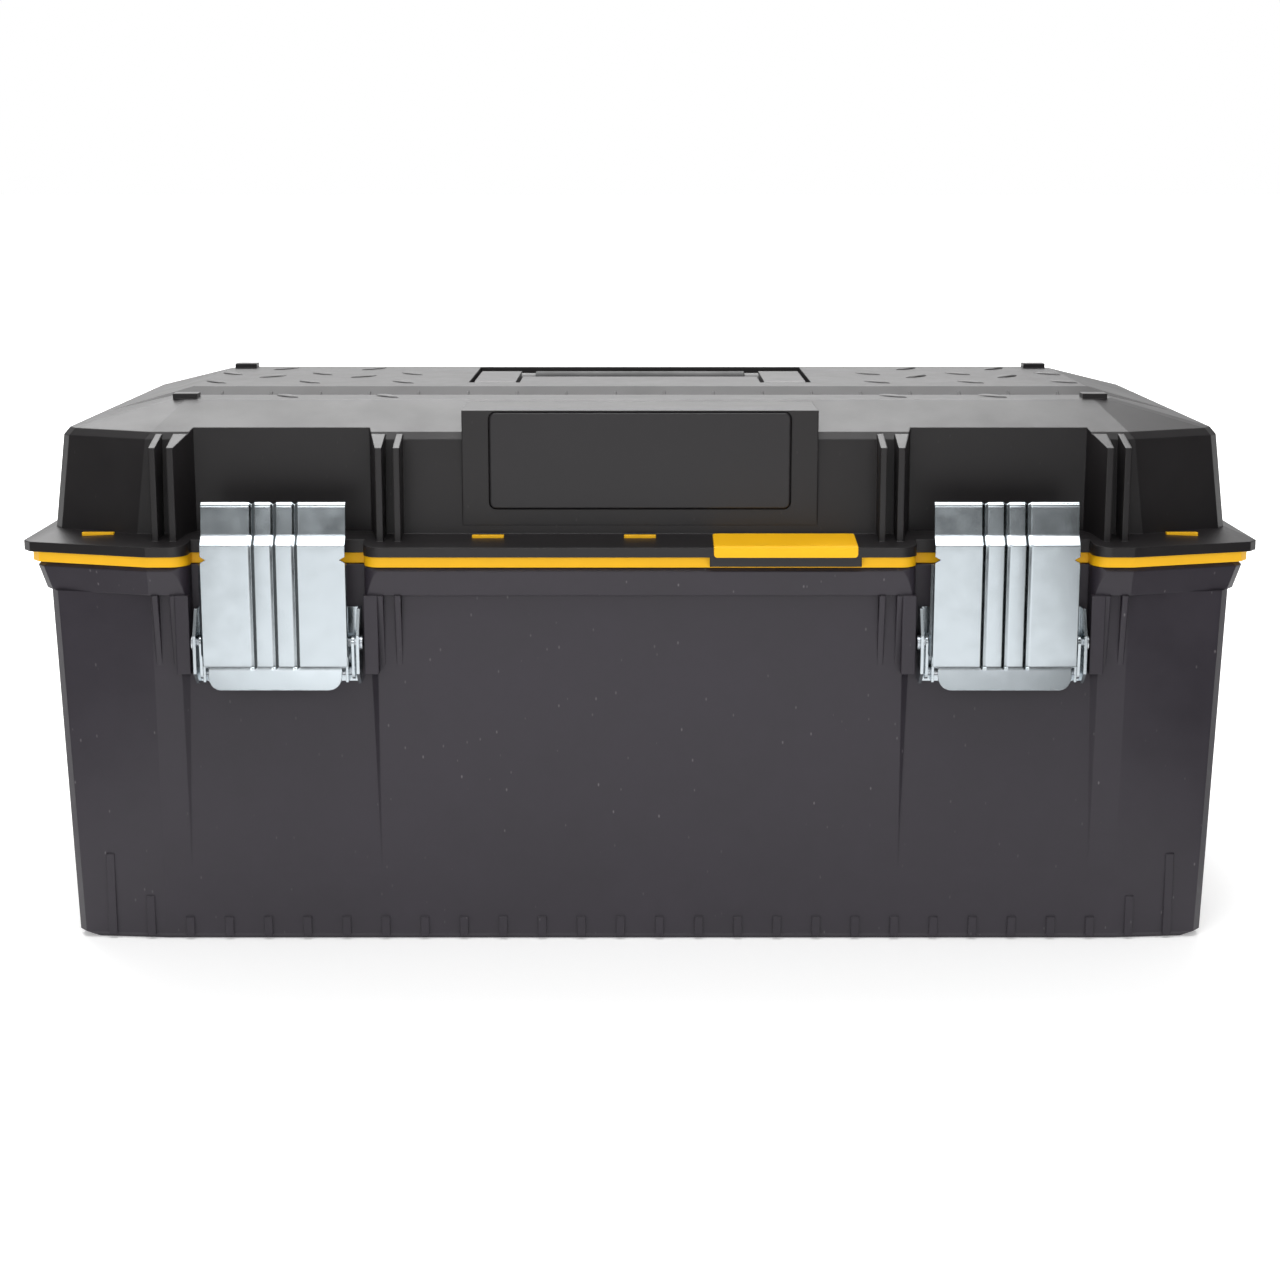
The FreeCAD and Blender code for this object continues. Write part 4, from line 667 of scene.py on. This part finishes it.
class TOOLBOX_OT_scale_marks(bpy.types.Operator):
    """Model the inch marks up the back wall of the lid's groove"""

    bl_idname = "toolbox.scale_marks"
    bl_label = "Groove Marks"

    def execute(self, context):
        size = sizes()
        top = lid_top()
        slope = math.atan(GROOVE_FALL)
        reach = size.mark_start + size.mark_length / 2
        middle = Vector((0, -size.groove_back - reach * math.cos(slope), top - reach * math.sin(slope)))
        begin()
        bpy.ops.mesh.primitive_cube_add(size=1, location=(0, 0, 0))
        first = context.object
        first.scale = (size.mark_width, size.mark_length, size.mark_height)
        bpy.ops.object.transform_apply(location=False, rotation=False, scale=True)
        edit(first)
        choose(first, "faces", lambda face: face.normal.z > 0.9)
        bpy.ops.mesh.bevel(offset=size.mark_edge, segments=2, affect="EDGES")
        bpy.ops.object.mode_set(mode="OBJECT")
        copies = []
        for step in range(size.mark_count):
            for side in (-1, 1):
                aside = Vector((side * (step + 0.5) * size.mark_pitch, 0, 0))
                copies.append(copy_to(first, middle + aside, (slope, 0, 0)))
        bpy.data.objects.remove(first)
        marks = join(copies, "groove_marks")
        hand_over(marks, bpy.data.materials["polypropylene_moulded_lid"], "lid_plastic", "lid")
        return {"FINISHED"}


class TOOLBOX_OT_seal(bpy.types.Operator):
    """Dress the seal and model the lift pad over the flange's edge"""

    bl_idname = "toolbox.seal"
    bl_label = "Seal and Lift Pad"

    def execute(self, context):
        rubber = soft_rubber("thermoplastic_rubber_moulded", colours().seal, roughness=0.5)
        dress(rubber, "lid_seal")
        low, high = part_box("lift_pad")
        size = sizes()
        # The pad's outer skin: flat over the flange, rounded over its edge, and down its front
        round_over = size.pad_round
        begin()
        bpy.ops.mesh.primitive_plane_add(size=1, location=((low.x + high.x) / 2, 0, 0))
        pad = context.object
        pad.name = "lift_pad_soft"
        run = high.y - low.y - round_over
        pad.scale = (high.x - low.x, run, 1)
        edge_level = high.z - (high.y - low.y - size.pad_skin) * FLANGE_FALL
        pad.location = ((low.x + high.x) / 2, high.y - run / 2, edge_level)
        bpy.ops.object.transform_apply(location=True, rotation=False, scale=True)
        edit(pad)
        choose(pad, "verts", lambda vert: near(vert.co.y, high.y))
        bpy.ops.transform.translate(value=(0, 0, high.z - edge_level))
        choose(pad, "edges", lambda side: all(near(vert.co.y, low.y + round_over) for vert in side.verts))
        for step in range(ROUND_STEPS):
            start, end = (math.pi / 2 * at / ROUND_STEPS for at in (step, step + 1))
            pull((0, -round_over * (math.sin(end) - math.sin(start)),
                  -round_over * (math.cos(start) - math.cos(end))))
        pull((0, 0, low.z - (edge_level - round_over)))
        choose(pad, "verts", lambda vert: len(vert.link_edges) == 2 and (near(vert.co.y, high.y)
                                                                         or near(vert.co.z, low.z)))
        bpy.ops.mesh.bevel(offset=size.pad_corner, segments=4, affect="VERTICES")
        bpy.ops.mesh.select_all(action="SELECT")
        bpy.ops.mesh.normals_make_consistent(inside=False)
        bpy.ops.object.mode_set(mode="OBJECT")
        apply_modifier(pad, "SOLIDIFY", thickness=size.pad_skin, offset=-1, use_even_offset=True)
        apply_modifier(pad, "BEVEL", width=size.pad_edge, segments=3, limit_method="ANGLE",
                       angle_limit=math.radians(50))
        hand_over(pad, rubber, "soft_seal", "lid", "lift_pad")
        return {"FINISHED"}


class TOOLBOX_OT_name_plate(bpy.types.Operator):
    """Model the blank name plate in the centre boss"""

    bl_idname = "toolbox.name_plate"
    bl_label = "Name Plate"

    def execute(self, context):
        size = sizes()
        low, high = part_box("name_plate")
        begin()
        bpy.ops.mesh.primitive_cube_add(size=1, location=(low + high) / 2)
        plate = context.object
        plate.name = "name_plate_blank"
        plate.scale = high - low
        bpy.ops.object.transform_apply(location=True, rotation=False, scale=True)
        edit(plate)
        choose(plate, "edges", lambda side: not near(side.verts[0].co.y, side.verts[1].co.y))
        bpy.ops.mesh.bevel(offset=size.plate_corner, segments=6, affect="EDGES")
        choose(plate, "faces", lambda face: face.normal.y < -0.9)
        bpy.ops.mesh.bevel(offset=size.plate_edge, segments=4, affect="EDGES")
        bpy.ops.object.mode_set(mode="OBJECT")
        finish = moulded_plastic("abs_moulded_plate", colours().plate, srgb("#3C3A3C"), roughness=0.4,
                                 specular=0.45, speck_share=0.1)
        hand_over(plate, finish, "plate_plastic", "lid", "name_plate")
        return {"FINISHED"}


class TOOLBOX_OT_handle(bpy.types.Operator):
    """Dress the carrying handle and its grip"""

    bl_idname = "toolbox.handle"
    bl_label = "Handle"

    def execute(self, context):
        tints = colours()
        dress(moulded_plastic("polypropylene_moulded_handle", tints.handle, srgb("#4A4648"), roughness=0.42,
                              specular=0.4, speck_share=0.15), "handle_frame")
        dress(soft_rubber("thermoplastic_rubber_grip", tints.grip, roughness=0.55), "handle_grip")
        return {"FINISHED"}


class TOOLBOX_OT_hardware(bpy.types.Operator):
    """Dress the latch brackets, links, pins and rivets in plated steel"""

    bl_idname = "toolbox.hardware"
    bl_label = "Latch Hardware and Pins"

    def execute(self, context):
        tints = colours()
        sheet = plated_steel("zinc_plated_sheet", tints.zinc, roughness=0.2, wave=0.03)
        wire = plated_steel("zinc_plated_pin_steel", tints.steel, roughness=0.3, wave=0.05)
        for name in SIDES:
            dress(sheet, f"latch_bracket_{name}", f"latch_links_{name}")
            dress(wire, f"latch_lever_pin_{name}", f"latch_pivot_pin_{name}", f"hinge_pin_{name}",
                  f"handle_pin_{name}")
        dress(wire, "bracket_rivets")
        return {"FINISHED"}


class TOOLBOX_OT_latch_plates(bpy.types.Operator):
    """Model the pressed latch plates with their rolled edge, step, creases, lip and lugs"""

    bl_idname = "toolbox.latch_plates"
    bl_label = "Latch Plates"

    # The step and the upper panel, from the face up: how far each fold goes back and rises
    folds = (
        (0.15 * MM, 0.4 * MM), (0.55 * MM, 0.65 * MM), (2.6 * MM, 3 * MM), (0.55 * MM, 0.65 * MM),
        (0.15 * MM, 0.4 * MM), (1.45 * MM, 12.3 * MM),
    )
    roll_end = 1.2 * MM
    # Levels on the lip as shares of its drop. It keeps the face's width down to the first of these shares,
    # draws in by the second, and leans out more from the third on
    lip_shares = (0.05, 0.1, 0.2, 0.35)
    lip_wide_share, lip_neck_share, lip_bend_share = 0.07, 0.15, 0.1
    # How far the lip leans out as a share of its drop, at the bend and below it
    lip_bend_slope, lip_slope = 0.14, 0.275
    # Lines of a crease: their places as shares of its half width, and their depths as shares of its depth
    crease_shares = ((1, 0), (0.62, 0.25), (0.3, 0.75), (0, 1))
    # The creases end this far below the lip's bend, and are nearly flat between these heights on the step
    crease_end = 0.9 * MM
    crease_step_low, crease_step_high = 0.2 * MM, 4.9 * MM
    # The edges bent back: how far each fold goes out to the side and back
    side_folds = ((0.3 * MM, 0.35 * MM), (0.1 * MM, 0.6 * MM), (0, 2.4 * MM))
    # Vertices nearer than this become one
    weld = 0.01 * MM
    # Height above the lever pin from which a lug's root is drawn up
    lug_root_start = 2 * MM

    def execute(self, context):
        for name in SIDES:
            plate = self.sheet(f"latch_plate_{name}")
            hand_over(plate, bpy.data.materials["zinc_plated_sheet"], "zinc_sheet", f"latch_plate_{name}",
                      f"latch_plate_{name}")
        return {"FINISHED"}

    def sheet(self, node):
        size = sizes()
        low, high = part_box(node)
        middle = (low.x + high.x) / 2
        face = low.y + size.latch_face
        bend = low.z + size.latch_bend
        half = size.latch_half_width
        begin()
        bpy.ops.mesh.primitive_plane_add(size=1, location=(0, 0, 0), rotation=(math.pi / 2, 0, 0))
        plate = bpy.context.object
        plate.name = f"{node}_sheet"
        step_start = high.z - size.latch_step
        plate.scale = (half * 2, step_start - bend, 1)
        plate.location = (middle, face, (bend + step_start) / 2)
        bpy.ops.object.transform_apply(location=True, rotation=True, scale=True)
        edit(plate)
        self.upper_part(plate, step_start, high.z + size.latch_over)
        self.lip(plate, middle, bend, low.z + size.lip_lift)
        self.creases(plate, middle, bend, step_start)
        self.side_notches(plate, middle, half, high.z - size.notch_drop)
        self.side_edges(plate, middle, half, bend + size.side_edge_low, high.z - size.side_edge_high)
        bpy.ops.mesh.select_all(action="SELECT")
        bpy.ops.mesh.remove_doubles(threshold=self.weld)
        bpy.ops.mesh.normals_make_consistent(inside=False)
        choose(plate, "faces", lambda part: True)
        self.face_outwards(plate)
        self.lugs(plate, node, middle, face)
        bpy.ops.object.mode_set(mode="OBJECT")
        apply_modifier(plate, "SOLIDIFY", thickness=size.latch_sheet, offset=-1)
        apply_modifier(plate, "BEVEL", width=size.latch_edge, segments=2, limit_method="ANGLE",
                       angle_limit=math.radians(60))
        return plate

    def upper_part(self, plate, start, top):
        """The step back to the upper panel and the edge rolled over at its top."""
        choose(plate, "edges", lambda side: all(near(vert.co.z, start) for vert in side.verts))
        moves = list(self.folds)
        roll = top - start - sum(rise for _, rise in moves)
        for step in range(ROUND_STEPS):
            first, last = (math.pi / 2 * at / ROUND_STEPS for at in (step, step + 1))
            moves.append((roll * (math.cos(first) - math.cos(last)),
                          roll * (math.sin(last) - math.sin(first))))
        moves.append((self.roll_end, 0))
        for back, rise in moves:
            pull((0, back, rise))

    def lip(self, plate, middle, bend, low):
        """The lip that bends out below the face, narrower and with round corners."""
        size = sizes()
        radius = size.lip_corner
        drop = bend - low
        choose(plate, "edges", lambda side: all(near(vert.co.z, bend) for vert in side.verts))
        levels = [*self.lip_shares, 1 - radius / drop]
        levels += [1 - radius / drop * (1 - math.sin(math.pi / 2 * at / ROUND_STEPS))
                   for at in range(1, ROUND_STEPS + 1)]
        width = size.latch_half_width
        last = 0
        for share in levels:
            out = self.lip_slope if share > self.lip_bend_share else self.lip_bend_slope
            pull((0, -(share - last) * drop * out, -(share - last) * drop))
            height = drop * (1 - share)
            inside = radius - min(radius, height)
            wanted = size.lip_half_width - radius + math.sqrt(max(0, radius ** 2 - inside ** 2))
            if share < self.lip_neck_share:
                wanted = width if share < self.lip_wide_share else size.lip_half_width
            bpy.ops.transform.resize(value=(wanted / width, 1, 1), center_override=(middle, 0, 0))
            width = wanted
            last = share

    def creases(self, plate, middle, bend, step_start):
        """Three creases pressed down the plate, nearly flat over the step, and over the rolled edge."""
        size = sizes()
        middles = [middle + step * size.crease_pitch for step in (-1, 0, 1)]
        places = [share for share, _ in self.crease_shares]
        for x in middles:
            for share in sorted({*places, *[-place for place in places]}):
                slice_at((x + share * size.crease_half_width, 0, 0), (1, 0, 0))
        for share, depth in self.crease_shares[1:]:
            lines = [x + side * share * size.crease_half_width for x in middles for side in (-1, 1)]
            for on_step, part in ((False, 1), (True, size.crease_step_share)):
                choose(plate, "verts", lambda vert: vert.co.z > bend - self.crease_end
                       and (self.crease_step_low < vert.co.z - step_start < self.crease_step_high) == on_step
                       and any(near(vert.co.x, line) for line in lines))
                bpy.ops.transform.shrink_fatten(value=-depth * part * size.crease_depth)

    def side_notches(self, plate, middle, half, level):
        """The small notch in each side edge, beside the seal."""
        size = sizes()
        for rise in (-size.notch_half_height, 0, size.notch_half_height):
            slice_at((0, 0, level + rise), (0, 0, 1))
        for side in (-1, 1):
            choose(plate, "verts", lambda vert: near(vert.co.x, middle + side * half)
                   and near(vert.co.z, level))
            bpy.ops.transform.translate(value=(-side * size.notch_depth, 0, 0))

    def side_edges(self, plate, middle, half, low, high):
        """The narrow edges bent back along the sides."""
        for level in (low, high):
            slice_at((0, 0, level), (0, 0, 1))
        for side in (-1, 1):
            choose(plate, "edges", lambda part: all(near(vert.co.x, middle + side * half)
                                                    and low - self.weld < vert.co.z < high + self.weld
                                                    for vert in part.verts))
            for out, back in self.side_folds:
                pull((side * out, back, 0))

    def face_outwards(self, plate):
        """Turn the sheet so that its show side points to the front."""
        mesh = bmesh.from_edit_mesh(plate.data)
        if sum(face.normal.y * face.calc_area() for face in mesh.faces) > 0:
            bpy.ops.mesh.flip_normals()

    def lugs(self, plate, node, middle, face):
        """The two lugs behind the lip that turn on the lever pin."""
        size = sizes()
        pin_low, pin_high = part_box(node.replace("plate", "lever_pin"))
        pin_y = (pin_low.y + pin_high.y) / 2
        pin_z = (pin_low.z + pin_high.z) / 2
        root = face + size.lug_root
        widening = size.lug_radius / size.lug_hole
        for side in (-1, 1):
            x = middle + side * size.lug_reach
            bpy.ops.mesh.select_all(action="DESELECT")
            bpy.ops.mesh.select_mode(type="VERT")
            bpy.ops.mesh.primitive_circle_add(vertices=24, radius=size.lug_hole, fill_type="NOTHING",
                                              location=(x, pin_y, pin_z), rotation=(0, math.pi / 2, 0))
            bpy.ops.mesh.extrude_region_move()
            bpy.ops.transform.resize(value=(1, widening, widening), center_override=(x, pin_y, pin_z))
            choose(plate, "verts", lambda vert: near(vert.co.x, x) and vert.co.y < pin_y
                   and not near(vert.co.y, pin_y)
                   and near(math.hypot(vert.co.y - pin_y, vert.co.z - pin_z), size.lug_radius))
            bpy.ops.transform.resize(value=(1, 0, 1), center_override=(0, root, 0))
            choose(plate, "verts", lambda vert: near(vert.co.x, x) and near(vert.co.y, root)
                   and vert.co.z > pin_z + self.lug_root_start)
            bpy.ops.transform.translate(value=(0, 0, size.lug_rise))
            choose(plate, "faces", lambda part: all(near(vert.co.x, x) for vert in part.verts))
            mesh = bmesh.from_edit_mesh(plate.data)
            if sum(part.normal.x * side for part in mesh.faces if part.select) < 0:
                bpy.ops.mesh.flip_normals()


OPERATORS = (
    TOOLBOX_OT_stage, TOOLBOX_OT_shells, TOOLBOX_OT_treads, TOOLBOX_OT_pocket_sills, TOOLBOX_OT_gussets,
    TOOLBOX_OT_scale_marks, TOOLBOX_OT_seal, TOOLBOX_OT_name_plate, TOOLBOX_OT_handle, TOOLBOX_OT_hardware,
    TOOLBOX_OT_latch_plates,
)


class TOOLBOX_PT_panel(bpy.types.Panel):
    """The tool box's steps in the sidebar"""

    bl_idname = "TOOLBOX_PT_panel"
    bl_label = "Tool Box"
    bl_space_type = "VIEW_3D"
    bl_region_type = "UI"
    bl_category = "Tool Box"

    def draw(self, context):
        for kind in OPERATORS:
            self.layout.operator(kind.bl_idname)
        for group in (context.scene.tool_box_sizes, context.scene.tool_box_colours):
            for name in group.__annotations__:
                self.layout.prop(group, name)


CLASSES = (ToolBoxColours, ToolBoxSizes, *OPERATORS, TOOLBOX_PT_panel)


def register():
    for kind in CLASSES:
        bpy.utils.register_class(kind)
    bpy.types.Scene.tool_box_colours = PointerProperty(type=ToolBoxColours)
    bpy.types.Scene.tool_box_sizes = PointerProperty(type=ToolBoxSizes)


def unregister():
    del bpy.types.Scene.tool_box_sizes
    del bpy.types.Scene.tool_box_colours
    for kind in reversed(CLASSES):
        bpy.utils.unregister_class(kind)


def main():
    register()
    bpy.ops.toolbox.stage()
    bpy.ops.toolbox.shells()
    bpy.ops.toolbox.treads()
    bpy.ops.toolbox.pocket_sills()
    bpy.ops.toolbox.gussets()
    bpy.ops.toolbox.scale_marks()
    bpy.ops.toolbox.seal()
    bpy.ops.toolbox.name_plate()
    bpy.ops.toolbox.handle()
    bpy.ops.toolbox.hardware()
    bpy.ops.toolbox.latch_plates()


if __name__ == "__main__":
    main()
